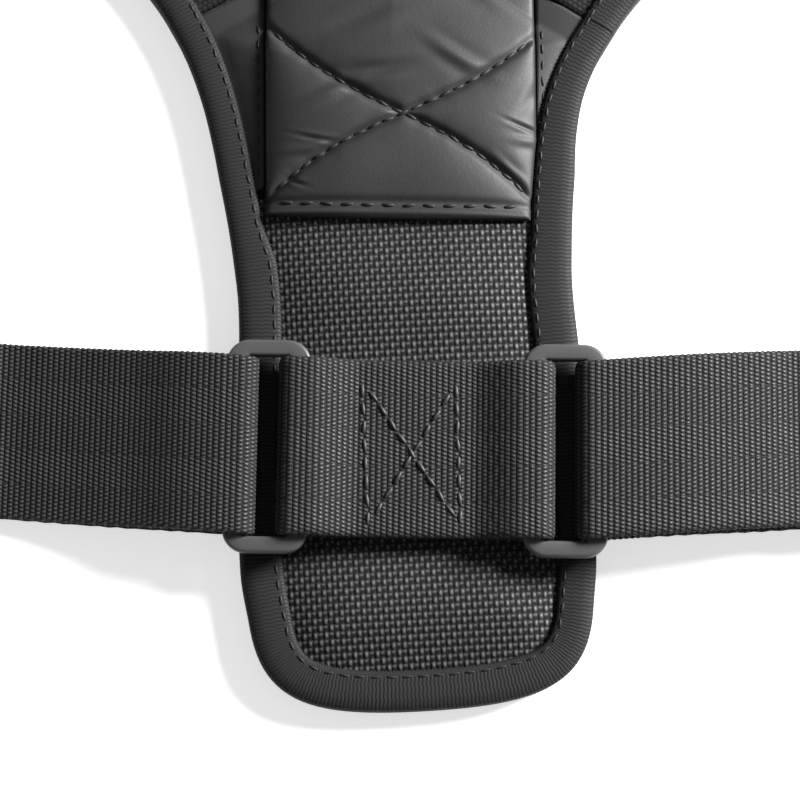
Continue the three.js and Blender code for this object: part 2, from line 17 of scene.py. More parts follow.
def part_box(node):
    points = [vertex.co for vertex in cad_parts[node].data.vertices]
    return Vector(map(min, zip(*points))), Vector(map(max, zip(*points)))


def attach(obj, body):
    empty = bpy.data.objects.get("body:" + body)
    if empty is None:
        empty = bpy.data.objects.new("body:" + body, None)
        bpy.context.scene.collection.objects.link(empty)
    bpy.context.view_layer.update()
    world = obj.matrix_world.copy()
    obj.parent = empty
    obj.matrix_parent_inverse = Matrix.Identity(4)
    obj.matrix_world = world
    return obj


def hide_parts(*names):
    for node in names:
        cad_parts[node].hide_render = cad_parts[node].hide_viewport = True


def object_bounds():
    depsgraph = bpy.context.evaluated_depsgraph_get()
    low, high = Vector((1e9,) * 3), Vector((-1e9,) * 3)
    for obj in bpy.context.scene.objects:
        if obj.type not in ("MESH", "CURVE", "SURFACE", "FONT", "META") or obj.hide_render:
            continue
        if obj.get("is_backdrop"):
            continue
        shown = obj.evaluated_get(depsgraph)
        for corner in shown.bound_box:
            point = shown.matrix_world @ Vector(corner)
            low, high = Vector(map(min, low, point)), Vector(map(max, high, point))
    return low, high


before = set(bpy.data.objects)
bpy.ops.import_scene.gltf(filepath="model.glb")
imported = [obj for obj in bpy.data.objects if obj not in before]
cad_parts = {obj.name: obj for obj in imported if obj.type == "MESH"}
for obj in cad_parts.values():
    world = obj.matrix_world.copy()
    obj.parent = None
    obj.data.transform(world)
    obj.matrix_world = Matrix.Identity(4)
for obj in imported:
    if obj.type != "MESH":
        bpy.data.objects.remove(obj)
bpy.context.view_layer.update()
print("solid nodes:", len(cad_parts))

# %% [markdown]
# ## Shader sums
# Blender's materials are webs of nodes. Written one by one they are long and hard to read, so a
# small class wraps a socket and lets Python's own signs add the Math nodes. Another class holds one
# material and makes any other node from its type, its settings and its inputs.

# %% Wires and paints
class Wire:
    """A node's output that can be added, multiplied and raised in a Python expression."""

    def __init__(self, paint, socket):
        self.paint = paint
        self.socket = socket

    def sum(self, operation, *values):
        return self.paint.node("ShaderNodeMath", {"operation": operation}, values)

    def __add__(self, other):
        return self.sum("ADD", self, other)

    def __radd__(self, other):
        return self.sum("ADD", other, self)

    def __sub__(self, other):
        return self.sum("SUBTRACT", self, other)

    def __rsub__(self, other):
        return self.sum("SUBTRACT", other, self)

    def __mul__(self, other):
        return self.sum("MULTIPLY", self, other)

    def __rmul__(self, other):
        return self.sum("MULTIPLY", other, self)

    def __truediv__(self, other):
        return self.sum("DIVIDE", self, other)

    def __pow__(self, other):
        return self.sum("POWER", self, other)


def by_kind(value, operation, plain, *others):
    """One formula for both: nodes when value is a wire, numbers when it is an array."""
    return value.sum(operation, value, *others) if isinstance(value, Wire) else plain(value, *others)


def floor_of(value):
    return by_kind(value, "FLOOR", np.floor)


def cosine(value):
    return by_kind(value, "COSINE", np.cos)


def size_of(value):
    return by_kind(value, "ABSOLUTE", np.abs)


def least(value, other):
    return by_kind(value, "MINIMUM", np.minimum, other)


def most(value, other):
    return by_kind(value, "MAXIMUM", np.maximum, other)


def clipped(value):
    return least(most(value, 0.0), 1.0)


def fraction(value):
    """How far value is past the middle of its own whole step, from -0.5 to 0.5."""
    return value - floor_of(value) - 0.5


class Paint:
    """A material, its shader and the nodes that vary it."""

    def __init__(self, name, **even):
        self.material = bpy.data.materials.new(name)
        self.material.use_nodes = True
        self.tree = self.material.node_tree
        self.shader = self.tree.nodes["Principled BSDF"]
        for socket, value in even.items():
            self.shader.inputs[socket.replace("_", " ")].default_value = value

    def node(self, kind, settings=None, inputs=(), output=0):
        node = self.tree.nodes.new(kind)
        for key, value in (settings or {}).items():
            setattr(node, key, value)
        pairs = inputs.items() if isinstance(inputs, dict) else enumerate(inputs)
        for key, value in pairs:
            if isinstance(value, Wire):
                self.tree.links.new(value.socket, node.inputs[key])
            else:
                node.inputs[key].default_value = value
        return Wire(self, node.outputs[output])

    def noise(self, place, scale, detail=2.0, rough=0.5):
        inputs = {"Vector": place, "Scale": scale, "Detail": detail, "Roughness": rough}
        return self.node("ShaderNodeTexNoise", {"noise_dimensions": "3D"}, inputs)

    def split(self, place):
        return [self.node("ShaderNodeSeparateXYZ", None, [place], axis) for axis in range(3)]

    def shade(self, share, dark, light):
        """A grey between two greys, each given as (red, green, blue)."""
        pair = {0: share, 6: (*dark, 1.0), 7: (*light, 1.0)}
        return self.node("ShaderNodeMix", {"data_type": "RGBA"}, pair, 2)

    def relief(self, height, depth, strength=1.0):
        inputs = {"Height": height, "Distance": depth, "Strength": strength}
        return self.node("ShaderNodeBump", None, inputs)

    def feed(self, socket, wire):
        self.tree.links.new(wire.socket, self.shader.inputs[socket])

    @property
    def object_place(self):
        return self.node("ShaderNodeTexCoord", None, (), 3)

    def cloth_place(self):
        """The piece's own UV map, in millimetres across and along the cloth."""
        return self.node("ShaderNodeUVMap", {"uv_map": CLOTH_UV})


CLOTH_UV = "cloth_mm"
MM = 0.001

# %% [markdown]
# ## The finishes
# Everything here is black, yet no two pieces look alike: the leatherette has a soft even sheen, the
# nylon sparkles because each yarn is a small shiny roll with a painted highlight, the tape is dull
# and the rings are satin plastic. A picture of each weave would be one way. Here each weave is a
# formula instead: the same few lines bend the mesh and, through the class above, also build the
# nodes for its tone and bump, so the floats, lightened as painted highlight, and the gaps, darkened
# as painted shade, lie exactly on the relief.

# %% Weaves, from 0 in a gap to 1 on a thread
WEB_WIDTH = 38.0
FLOAT_LENGTH = 1.27
FLOAT_PITCH = 0.88
FLOAT_STEP = 0.44
BAND_WIDTH = 7.6
WARP_PITCH = 1.17
WEFT_PITCH = 1.5
RIB_PITCH = 0.85
KNIT_PITCH = 1.3


def web_floats(across, along):
    """Columns of short floats. Each column steps sideways, and the step turns at every band."""
    column = floor_of(along / FLOAT_LENGTH)
    p = fraction(along / FLOAT_LENGTH)
    band = (across + WEB_WIDTH / 2) / BAND_WIDTH
    turn = (floor_of(band) - floor_of(floor_of(band) / 2) * 2) * 2 - 1
    q = fraction((across + turn * (column + p * 0.5) * FLOAT_STEP * 0.94) / FLOAT_PITCH)
    rise = clipped(cosine(p * math.pi)) * clipped(cosine(q * math.pi))
    line = 0.5 - size_of(fraction(band))
    return (rise ** 0.8) * clipped(0.72 + line * 7)


def weave_cell(across, along):
    """Place in a cell of the plain weave, and 1 where the warp is over or -1 where the weft is."""
    both = (floor_of(across / WARP_PITCH) + floor_of(along / WEFT_PITCH)) / 2
    over = 1 - (both - floor_of(both)) * 4
    return fraction(across / WARP_PITCH), fraction(along / WEFT_PITCH), over


def plain_weave(across, along):
    """Fat flat yarns, one over and one under: the crests stand in staggered rows."""
    p, q, over = weave_cell(across, along)
    warp = (1 - p * p * 3.9) ** 0.5 * 0.5 + over * cosine(q * math.pi) * 0.5
    weft = (1 - q * q * 3.9) ** 0.5 * 0.4 - over * cosine(p * math.pi) * 0.3
    return most(warp, weft)


def painted_yarn_highlights(across, along):
    """Painted highlight: a thin light line on the right side of each warp yarn
    and on the upper side of each weft yarn, where the lamp catches them.
    """
    p, q, over = weave_cell(across, along)
    warp = clipped(1 - size_of(p - 0.12) * 2.6) * cosine(q * math.pi) * clipped(over)
    weft = clipped(1 - size_of(q - 0.2) * 3.4) * cosine(p * math.pi) * clipped(over * -1)
    return most(warp * 1.1, weft * 0.8)


def tape_ribs(across, along):
    """Fine ribs across the tape that zigzag a little."""
    bend = size_of(fraction(across / 1.9)) * 0.5
    return size_of(cosine((along + bend) * math.pi / RIB_PITCH))


def pad_knit(across, along):
    """The small close loops of a brushed knit."""
    row = floor_of(along / KNIT_PITCH)
    shift = (row / 2 - floor_of(row / 2)) * KNIT_PITCH
    p, q = fraction((across + shift) / KNIT_PITCH), fraction(along / KNIT_PITCH)
    return clipped(1 - (p * p + q * q) * 3.2)


# %% Threads: webbing, nylon and tape
def grey(value):
    return (value, value, value * 1.03)


def woven_finish(name, weave, tones, roughness, relief, patches, fibres, specular,
                 painted_highlight_sharpness=1.0, painted_highlights=None):
    """Shiny threads: tone and gloss follow the weave, with fibre streaks and a patchy tone.
    The tone is painted shade in the gaps and painted highlight on the threads.
    """
    paint = Paint(name, IOR=1.5, Specular_IOR_Level=specular)
    place = paint.cloth_place()
    across, along, _ = paint.split(place)
    height = weave(across, along)
    patch = paint.noise(place, patches, 3.0, 0.6)
    fibre = paint.noise(place, fibres, 2.0, 0.7)
    # Painted light: the colour is near black in the gaps as painted shade, and light on the thread
    # crests, or on painted yarn highlights where given, as painted highlight.
    lit = painted_highlights(across, along) if painted_highlights else height
    share = clipped((clipped(lit) ** painted_highlight_sharpness) * (0.45 + patch * 0.7) + (fibre - 0.5) * 0.4)
    paint.feed("Base Color", paint.shade(share, grey(tones[0]), grey(tones[1])))
    paint.feed("Roughness", clipped(roughness[0] + (1 - share) * roughness[1]))
    paint.feed("Normal", paint.relief(height + fibre * 0.35, relief * MM))
    return paint.material


def brushed_finish(name, tones, roughness, relief, fibres):
    """Plain cloth or sewing thread: fibres with no weave to see."""
    paint = Paint(name, IOR=1.45, Sheen_Weight=0.03)
    place = paint.cloth_place()
    fibre = paint.noise(place, fibres, 3.0, 0.7)
    patch = paint.noise(place, fibres / 12, 2.0, 0.5)
    share = clipped(fibre * 0.7 + patch * 0.5 - 0.1)
    paint.feed("Base Color", paint.shade(share, grey(tones[0]), grey(tones[1])))
    paint.feed("Roughness", clipped(roughness + (fibre - 0.5) * 0.2))
    paint.feed("Normal", paint.relief(fibre, relief * MM))
    return paint.material


# tones: the grey of a gap, darkened as painted shade, and of a thread, lightened as painted
# highlight. roughness: a thread's, and what a gap adds to it. relief: millimetres. patches and
# fibres: how many noise cells lie in a millimetre.
webbing = woven_finish("webbing_black", web_floats, tones=(0.0004, 0.055), roughness=(0.31, 0.5),
                       relief=0.24, patches=0.2, fibres=3.0, specular=0.42, painted_highlight_sharpness=2.6)
# The nylon's colour is lightened by painted highlights along its yarns.
nylon = woven_finish("nylon_black", plain_weave, tones=(0.0006, 0.13), roughness=(0.33, 0.5),
                     relief=0.21, patches=0.15, fibres=3.0, specular=0.38, painted_highlight_sharpness=1.3,
                     painted_highlights=painted_yarn_highlights)
tape = woven_finish("tape_black", tape_ribs, tones=(0.006, 0.018), roughness=(0.6, 0.2),
                    relief=0.045, patches=0.5, fibres=4.5, specular=0.25)
pad_cloth = woven_finish("pad_cloth_black", pad_knit, tones=(0.004, 0.02), roughness=(0.62, 0.3),
                         relief=0.07, patches=0.06, fibres=4.0, specular=0.2)
strip_cloth = brushed_finish("strip_cloth_black", (0.009, 0.018), 0.6, 0.06, fibres=3.0)
seam_thread = brushed_finish("seam_thread_black", (0.002, 0.006), 0.6, 0.03, fibres=8.0)
box_thread = brushed_finish("box_thread_grey", (0.008, 0.03), 0.5, 0.03, fibres=8.0)
print("woven finishes:", [m.name for m in (webbing, nylon, tape, pad_cloth)])

# %% [markdown]
# ### Smooth finishes
# The leatherette is a soft coated cloth with a fine grain of pores and creases, and the rings are
# moulded plastic with a fine speckle. Both could be one flat colour with one roughness, but then
# their highlights would be too clean. A few noises break the gloss up and leave the colour almost
# even. Their patterns are set in the object's own space, since neither has threads to follow.

# %% Leatherette and ring plastic
PORES = 1500.0
CREASES = 420.0
SPECKLES = 2500.0


def leather_finish():
    paint = Paint("leatherette_black", IOR=1.48, Specular_IOR_Level=0.5)
    place = paint.object_place
    pores = paint.node("ShaderNodeTexVoronoi", {"feature": "F1"}, {"Vector": place, "Scale": PORES})
    creases = paint.noise(place, CREASES, 4.0, 0.6)
    patch = paint.noise(place, 60.0, 2.0, 0.5)
    paint.feed("Base Color", paint.shade(patch, grey(0.011), grey(0.021)))
    paint.feed("Roughness", 0.5 + patch * 0.12 + creases * 0.08)
    paint.feed("Normal", paint.relief(pores * 0.5 + creases, 0.04 * MM, 0.8))
    return paint.material


def ring_finish():
    paint = Paint("ring_plastic_grey", IOR=1.5)
    place = paint.object_place
    speckle = paint.noise(place, SPECKLES, 2.0, 0.6)
    patch = paint.noise(place, 90.0, 3.0, 0.5)
    paint.feed("Base Color", paint.shade(patch, grey(0.045), grey(0.065)))
    paint.feed("Roughness", 0.36 + patch * 0.12 + speckle * 0.1)
    paint.feed("Normal", paint.relief(speckle, 0.03 * MM))
    return paint.material


leather = leather_finish()
ring_plastic = ring_finish()
print("smooth finishes:", leather.name, "and", ring_plastic.name)

# %% [markdown]
# ## The panel's own frame
# The back panel is drawn along a centre line that leans a little and then straightens at the yoke,
# as the real one lies. Each shoulder pad follows three arcs and a straight end. One function walks
# any such route, and works on whole arrays, because the cloth meshes below have thousands of points.

# %% Sizes, in millimetres
CLEARANCE = 0.35
FACE_CLOTH = 1.2
BINDING_WALL = 1.0
BINDING_REACH = 7.5
FOAM_EDGE = 1.4
PANEL_CROWN = 4.0
SHOULDER_CROWN = 3.2
WEB_THICKNESS = 1.8
WEB_FOLD_RADIUS = 2.0
WEB_DROP_RUN = 10.0
PAD_OVERLAP = 34.0
RING_SIDE_BAR = 4.6
RING_END_BAR = 3.55
RING_CORNER = 5.0
WAIST_HALF = 36.0
FOOT_DROP = 55.2
ARMPIT_RISE = 96.0
ARMPIT_HALF = 50.0
SHOULDER_WIDTH = 58.0
PANEL_LEAN = math.radians(4.3)
PANEL_SHIFT = -0.9
LEAN_END = 64.0
STRAIGHTEN_RUN = 28.0
NYLON_RISE = 58.0
LEATHER_HALF = 29.8
HEM_RISE = 51.5
HEM_CENTRE = -3.8
LEATHER_LEAN = math.radians(1.4)
HEM_BOW = 0.8
SEAM_MARGIN = 2.4
QUILT_CROSS = (-4.0, 74.4)
QUILT_SLOPE = 0.47
QUILT_BEND = 0.000213
COLLAR_RADIUS = 90.0
LOOP_SHARE = 0.56
PAD_TIP_REACH = 100.0
PAD_TIP_RISE = 4.2
PAD_TIP_LENGTH = 22.0

FOAM_TOP = BINDING_WALL + CLEARANCE + FOAM_EDGE
FACE_EDGE = FOAM_TOP + CLEARANCE + FACE_CLOTH
BINDING_HEIGHT = FACE_EDGE + CLEARANCE + BINDING_WALL
PAD_INSET = BINDING_REACH + CLEARANCE
SEAM_RISE = math.sqrt(SHOULDER_WIDTH**2 - ARMPIT_HALF**2)
NECK_RISE = ARMPIT_RISE + SEAM_RISE
SEAM_HEADING = math.atan2(ARMPIT_HALF, SEAM_RISE)
SHOULDER_HALF = SHOULDER_WIDTH / 2

# Half-width of the panel: how far up (a share of ARMPIT_RISE, or of FOOT_DROP below the rings), and
# half the width as a share of WAIST_HALF
PANEL_WIDTHS = [
    (-0.652, 1.017), (-0.43, 1.058), (0, 1.036), (0.25, 1.003), (0.365, 0.995), (0.458, 1.011),
    (0.542, 1.033), (0.635, 1.067), (0.729, 1.106), (0.823, 1.167), (0.914, 1.261),
    (1, ARMPIT_HALF / WAIST_HALF),
]
# How full the padding is: how far up, and the share of PANEL_CROWN
PANEL_FULLNESS = [
    (-1, 0.35), (-0.66, 0.9), (-0.36, 0.45), (0, 0.38), (0.2, 0.43), (0.36, 0.85), (0.52, 0.6),
    (0.66, 0.9), (0.85, 1), (1.05, 0.8), (1.31, 0.35),
]
# The same along a shoulder pad, as shares of its length and of SHOULDER_CROWN
SHOULDER_FULLNESS = [(0, 0.3), (0.1, 0.85), (0.5, 1), (0.84, 0.8), (0.92, 0.45), (1, 0.4)]


def smooth_table(rows, at):
    """The second column of a table where the first is at, by cubic pieces through its rows."""
    keys, values = np.array(rows, float).T
    at = np.clip(np.asarray(at, float), keys[0], keys[-1])
    i = np.clip(np.searchsorted(keys, at, side="right") - 1, 0, len(keys) - 2)
    ends = np.arange(len(keys))
    before, after = np.maximum(ends - 1, 0), np.minimum(ends + 1, len(keys) - 1)
    slope = (values[after] - values[before]) / (keys[after] - keys[before])
    run = keys[i + 1] - keys[i]
    t = (at - keys[i]) / run
    return (
        (2 * t**3 - 3 * t**2 + 1) * values[i]
        + (t**3 - 2 * t**2 + t) * run * slope[i]
        + (3 * t**2 - 2 * t**3) * values[i + 1]
        + (t**3 - t**2) * run * slope[i + 1]
    )


# %% Routes
def run_length(points):
    """Length along a row of points, up to each of them."""
    return np.concatenate([[0], np.cumsum(np.linalg.norm(np.diff(points, axis=0), axis=1))])


def smoothed(values):
    """Each value averaged with its four neighbours on either side."""
    return np.convolve(np.pad(values, 4, mode="edge"), np.ones(9) / 9, "valid")


def walk(start, legs, across, along):
    """Points beside a route of straights and clockwise arcs: across to its right, along it."""
    x0, y0, heading = start
    along = np.asarray(along, float)
    x, y = np.full(along.shape, x0), np.full(along.shape, y0)
    turned = np.full(along.shape, heading)
    left = along.copy()
    for length, turn in legs:
        run = np.clip(left, 0, length)
        angle = turn * run / length
        chord = 2 * (length / turn) * np.sin(angle / 2) if turn else run
        x = x + chord * np.cos(turned - angle / 2)
        y = y + chord * np.sin(turned - angle / 2)
        turned = turned - angle
        left = np.where(left > 0, left - run, left)
    x = x + left * np.cos(turned) + across * np.sin(turned)
    y = y + left * np.sin(turned) - across * np.cos(turned)
    return x, y


PANEL_START = (PANEL_SHIFT, 0.0, math.pi / 2 + PANEL_LEAN)
PANEL_LEGS = [(LEAN_END, 0.0), (STRAIGHTEN_RUN, PANEL_LEAN)]


def on_panel(across, up):
    return walk(PANEL_START, PANEL_LEGS, across, up)


def into_panel(x, y):
    across, up = x - PANEL_SHIFT, np.array(y, float)
    for _ in range(6):
        px, py = on_panel(across, up)
        across, up = across + x - px, up + y - py
    return across, up


YOKE_X, YOKE_TOP = (float(v) for v in on_panel(0.0, ARMPIT_RISE))
YOKE_SHIFT = YOKE_TOP - ARMPIT_RISE
COLLAR_X = ARMPIT_HALF / 2 + COLLAR_RADIUS * math.sin(SEAM_HEADING)
COLLAR_Y = ARMPIT_RISE + SEAM_RISE / 2 + COLLAR_RADIUS * (1 - math.cos(SEAM_HEADING))
LOOP_DROP = COLLAR_Y + YOKE_SHIFT - PAD_TIP_RISE
OUTER_RADIUS = LOOP_DROP * LOOP_SHARE
INNER_RADIUS = LOOP_DROP - OUTER_RADIUS
STRAIGHT_END = COLLAR_X + OUTER_RADIUS - INNER_RADIUS - PAD_TIP_REACH - PAD_TIP_LENGTH
SHOULDER_START = (ARMPIT_HALF / 2, ARMPIT_RISE + SEAM_RISE / 2 + YOKE_SHIFT, SEAM_HEADING)
SHOULDER_LEGS = [
    (COLLAR_RADIUS * SEAM_HEADING, SEAM_HEADING),
    (OUTER_RADIUS * math.pi / 2, math.pi / 2),
    (INNER_RADIUS * math.pi / 2, math.pi / 2),
    (STRAIGHT_END, 0.0),
]
SHOULDER_LENGTH = sum(length for length, _ in SHOULDER_LEGS)


def on_shoulder(side):
    def place(across, along):
        x, y = walk(SHOULDER_START, SHOULDER_LEGS, across, along)
        return YOKE_X + side * x, y

    return place


# %% [markdown]
# ### Outlines
# The panel's edge and each pad's edge are closed lines. They could be drawn by hand, but the tape,
# the padding and the seams all measure their place from the edge, so the same few functions that
# shape the solid model shape it here too. Padding is full where it is far from the edge.

# %% Outlines
def rounded_end(half, length, squareness, steps):
    """The rounded end of a pad, from its right side to its left: (across, beyond the sides)."""
    t = np.linspace(0, 1, steps + 1)
    corners = [(half, 0), (half * squareness, length * 0.83), (half * 0.656, length), (0, length)]
    shares = [(1 - t) ** 3, 3 * t * (1 - t) ** 2, 3 * t**2 * (1 - t), t**3]
    right = sum(share[:, None] * np.array(corner) for share, corner in zip(shares, corners))
    left = right[-2::-1] * (-1, 1)
    return np.vstack([right, left])


def end_half(end, share):
    """Half the width of a rounded end, at a share of its length."""
    right = end[:len(end) // 2 + 1]
    return np.interp(share, right[:, 1] / right[-1, 1], right[:, 0])


def panel_half(up):
    up = np.asarray(up, float)
    return WAIST_HALF * smooth_table(PANEL_WIDTHS, up / np.where(up < 0, FOOT_DROP, ARMPIT_RISE))


FOOT_START = PANEL_WIDTHS[0][0] * FOOT_DROP
FOOT_END = rounded_end(PANEL_WIDTHS[0][1] * WAIST_HALF, FOOT_DROP + FOOT_START, 0.94, 24)


def panel_outline():
    """The bound edge of the panel, from the left armpit round the foot to the right armpit."""
    ups = np.linspace(FOOT_START, ARMPIT_RISE, 90)
    right = np.column_stack([panel_half(ups), ups])
    foot = np.column_stack([-FOOT_END[:, 0], FOOT_START - FOOT_END[:, 1]])
    return np.vstack([right[::-1] * (-1, 1), foot[1:-1], right])


PAD_TIP = rounded_end(SHOULDER_HALF, PAD_TIP_LENGTH, 1.0, 20)


def shoulder_outline():
    """The bound edge of a shoulder pad, from the armhole side of its seam round to the neck side."""
    along = np.linspace(0, SHOULDER_LENGTH, 160)
    side = np.column_stack([np.full(len(along), SHOULDER_HALF), along])
    tip = PAD_TIP + (0, SHOULDER_LENGTH)
    return np.vstack([side, tip[1:-1], side[::-1] * (-1, 1)])


PANEL_RIM = panel_outline()
SHOULDER_RIM = shoulder_outline()
CLOSED_RIM = np.vstack([PANEL_RIM, [(0.0, NECK_RISE)]])


def sides_distance(sides, x, y):
    """Distance from each point to the nearest of some straight sides."""
    nearest = np.full(np.shape(x), np.inf)
    for (ax, ay), (bx, by) in sides:
        dx, dy = bx - ax, by - ay
        t = np.clip(((x - ax) * dx + (y - ay) * dy) / (dx * dx + dy * dy), 0, 1)
        nearest = np.minimum(nearest, np.hypot(x - ax - t * dx, y - ay - t * dy))
    return nearest


def outline_distance(outline, across, along):
    """Distance from each point to the nearest side of a closed outline."""
    return sides_distance(zip(outline, np.roll(outline, -1, axis=0)), across, along)


def rim_distance(across, up):
    return outline_distance(CLOSED_RIM, across, up)


def face_height(across, up):
    """Height of the panel's cloth face: level under the tape, then crowned."""
    share = smooth_table(PANEL_FULLNESS, up / np.where(up < 0, FOOT_DROP, ARMPIT_RISE))
    inside = np.clip((rim_distance(across, up) - PAD_INSET) / (WAIST_HALF - PAD_INSET - 4), 0, 1)
    return FACE_EDGE + PANEL_CROWN * share * np.sin(inside**0.75 * math.pi / 2)


def shoulder_height(across, along):
    share = smooth_table(SHOULDER_FULLNESS, along / (SHOULDER_LENGTH + PAD_TIP_LENGTH))
    beyond = np.maximum(0, along - SHOULDER_LENGTH)
    room = SHOULDER_HALF - PAD_INSET
    inside = (room - np.hypot(across, beyond * SHOULDER_HALF / PAD_TIP_LENGTH)) / room
    return FOAM_TOP + SHOULDER_CROWN * share * np.sin(np.clip(inside, 0, 1) * math.pi / 2)


print("shoulder pad, mm along its middle:", round(SHOULDER_LENGTH + PAD_TIP_LENGTH, 1))

# %% [markdown]
# ## Growing a piece from a grid
# A strap, a tape or a sheet of cloth is a grid that has been bent into place. Blender makes the flat
# grid, a function says where each of its points goes, and the grid's own two directions become the
# UV map in millimetres, so the cloth's fibres follow every bend. A tube is the same grid with its
# two long edges welded and its ends filled.

# %% Grid to mesh
def mesh_from(bm, name):
    mesh = bpy.data.meshes.new(name)
    bm.to_mesh(mesh)
    bm.free()
    return mesh


def in_scene(name, mesh):
    piece = bpy.data.objects.new(name, mesh)
    bpy.context.scene.collection.objects.link(piece)
    return piece


def points_of(mesh):
    points = np.zeros(len(mesh.vertices) * 3)
    mesh.vertices.foreach_get("co", points)
    return points.reshape(-1, 3)


def lay_cloth_map(mesh, places):
    """Writes the UV map from one place on the cloth, in millimetres, for each vertex."""
    corners = np.zeros(len(mesh.loops), int)
    mesh.loops.foreach_get("vertex_index", corners)
    layer = mesh.uv_layers.new(name=CLOTH_UV)
    layer.data.foreach_set("uv", places[corners].ravel())


def close(mesh):
    """Welds a tube's seam, fills its ends and turns its faces outwards."""
    bm = bmesh.new()
    bm.from_mesh(mesh)
    bmesh.ops.remove_doubles(bm, verts=bm.verts, dist=1e-6)
    open_edges = [edge for edge in bm.edges if edge.is_boundary]
    bmesh.ops.holes_fill(bm, edges=open_edges, sides=0)
    bmesh.ops.recalc_face_normals(bm, faces=bm.faces)
    bm.to_mesh(mesh)
    bm.free()


def grow(name, columns, rows, place, tube=False, thickness=0.0):
    """A piece from a bent grid. place turns (column, row) into x, y, z and the cloth's own u, v."""
    columns, rows = np.asarray(columns, float), np.asarray(rows, float)
    bm = bmesh.new()
    bmesh.ops.create_grid(bm, x_segments=len(columns) - 1, y_segments=len(rows) - 1, size=1)
    mesh = mesh_from(bm, name)
    flat = points_of(mesh)
    column = columns[np.rint((flat[:, 0] + 1) / 2 * (len(columns) - 1)).astype(int)]
    row = rows[np.rint((flat[:, 1] + 1) / 2 * (len(rows) - 1)).astype(int)]
    x, y, z, across, along = place(column, row)
    mesh.vertices.foreach_set("co", (np.column_stack([x, y, z]) * MM).ravel())
    lay_cloth_map(mesh, np.column_stack([across, along]))
    if tube:
        close(mesh)
    mesh.polygons.foreach_set("use_smooth", [True] * len(mesh.polygons))
    piece = in_scene(name, mesh)
    if thickness:
        wall = piece.modifiers.new("wall", "SOLIDIFY")
        wall.thickness = thickness * MM
        wall.offset = -1
    return piece


def finish(piece, material, slot, *replaced):
    """Dresses a piece, puts it on the one body and hides the solids that it stands for."""
    piece.data.materials.clear()
    piece.data.materials.append(material)
    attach(piece, "root")
    if replaced:
        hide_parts(*replaced)
    faces = len(piece.evaluated_get(bpy.context.evaluated_depsgraph_get()).data.polygons)
    print(f"{piece.name}: {faces} faces")


def finer_steps(stops, steps):
    """Positions that run through stops, with each stretch cut into steps of about its own size."""
    parts = []
    for start, end, step in zip(stops, stops[1:], steps):
        count = max(1, round((end - start) / step))
        parts.append(np.linspace(start, end, count + 1)[:-1])
    return np.concatenate([*parts, [stops[-1]]])


# %% [markdown]
# ## The woven nylon
# Heavy nylon cloth is a plain weave of fat flat yarns: warp over weft, weft over warp, like a
# chessboard. A bump map could fake it, but light rakes over the yarns and shows their depth, so here
# each yarn is real relief. The warp and the weft are two wavy sets of rolls and the surface is
# whichever is on top. What the webbing and the leatherette cover keeps a coarse mesh.

# %% Nylon
YARN_RELIEF = 0.3
NYLON_INSET = BINDING_WALL + 2 * CLEARANCE + 0.4
NYLON_FOOT_INSET = 3.0
NYLON_FOOT = 4.0 - FOOT_DROP
UNDER_WEB = (-17, 18)
UNDER_HEM = HEM_RISE + 2
YARN_STEP = 0.34


def nylon_place(share, up):
    across = share * (panel_half(up) - NYLON_INSET)
    foot = np.clip((FOOT_START - up) / (FOOT_DROP + FOOT_START), 0, 1)
    foot_half = np.maximum(end_half(FOOT_END, foot) - NYLON_FOOT_INSET, 1.0)
    across = np.where(up < FOOT_START, share * foot_half, across)
    x, y = on_panel(across, up)
    relief = YARN_RELIEF * (plain_weave(across, up) - 1)
    edge = np.clip((rim_distance(across, up) - BINDING_REACH + 2) / 2, 0, 1)
    return x, y, face_height(across, up) + relief * edge, across, up


nylon_stops = [NYLON_FOOT, *UNDER_WEB, UNDER_HEM, NYLON_RISE]
nylon_rows = finer_steps(nylon_stops, [YARN_STEP, 3, YARN_STEP, 1.5])
nylon_columns = np.linspace(-1, 1, 190)
nylon_sheet = grow("nylon_sheet", nylon_columns, nylon_rows, nylon_place, thickness=FACE_CLOTH - 0.4)
finish(nylon_sheet, nylon, "nylon", "nylon_panel")

# %% [markdown]
# ## The quilted leatherette
# The upper panel is soft leatherette over a thin pad. Two curved seams cross it and pull it down, so
# it puffs up between them, and small wrinkles run out of the seams. It could be sculpted by hand or
# puffed up by a simulation, but neither would come out alike twice. Here the puff grows with the
# distance from the nearest seam, the wrinkles are a few ridges at an angle to it, and the hem rolls
# over at the lower edge.

# %% Leatherette
QUILT_PUFF = 1.7
QUILT_FALLOFF = 5.0
SEAM_GROOVE = 0.45
GROOVE_WIDTH = 0.9
HEM_SEAM_RISE = 2.9
PUCKER = 0.3
HEM_LIP = 0.3
EDGE_ROLL = 0.5


def quilt_distances(x, y):
    """Distance to each of the two crossing seams."""
    found = []
    for side in (1, -1):
        t = side * (x - QUILT_CROSS[0])
        seam = QUILT_CROSS[1] + QUILT_SLOPE * t + QUILT_BEND * t**3
        found.append(np.abs(y - seam) / np.hypot(1, QUILT_SLOPE + 3 * QUILT_BEND * t**2))
    return found


def blended_least(*distances):
    """Like the least of the distances, but without a crease where two of them meet."""
    return sum(np.maximum(d, 0.001) ** -2.0 for d in distances) ** -0.5


def leather_edge(side, y):
    edge = HEM_CENTRE - (y - HEM_RISE) * math.tan(LEATHER_LEAN) + side * LEATHER_HALF
    up = into_panel(edge, y)[1]
    bound = on_panel(side * (panel_half(up) - PAD_INSET), up)[0]
    return side * np.minimum(side * edge, side * bound)


def seam_edge(share):
    return NECK_RISE - CLEARANCE - SEAM_MARGIN - np.abs(share) * LEATHER_HALF / math.tan(SEAM_HEADING)


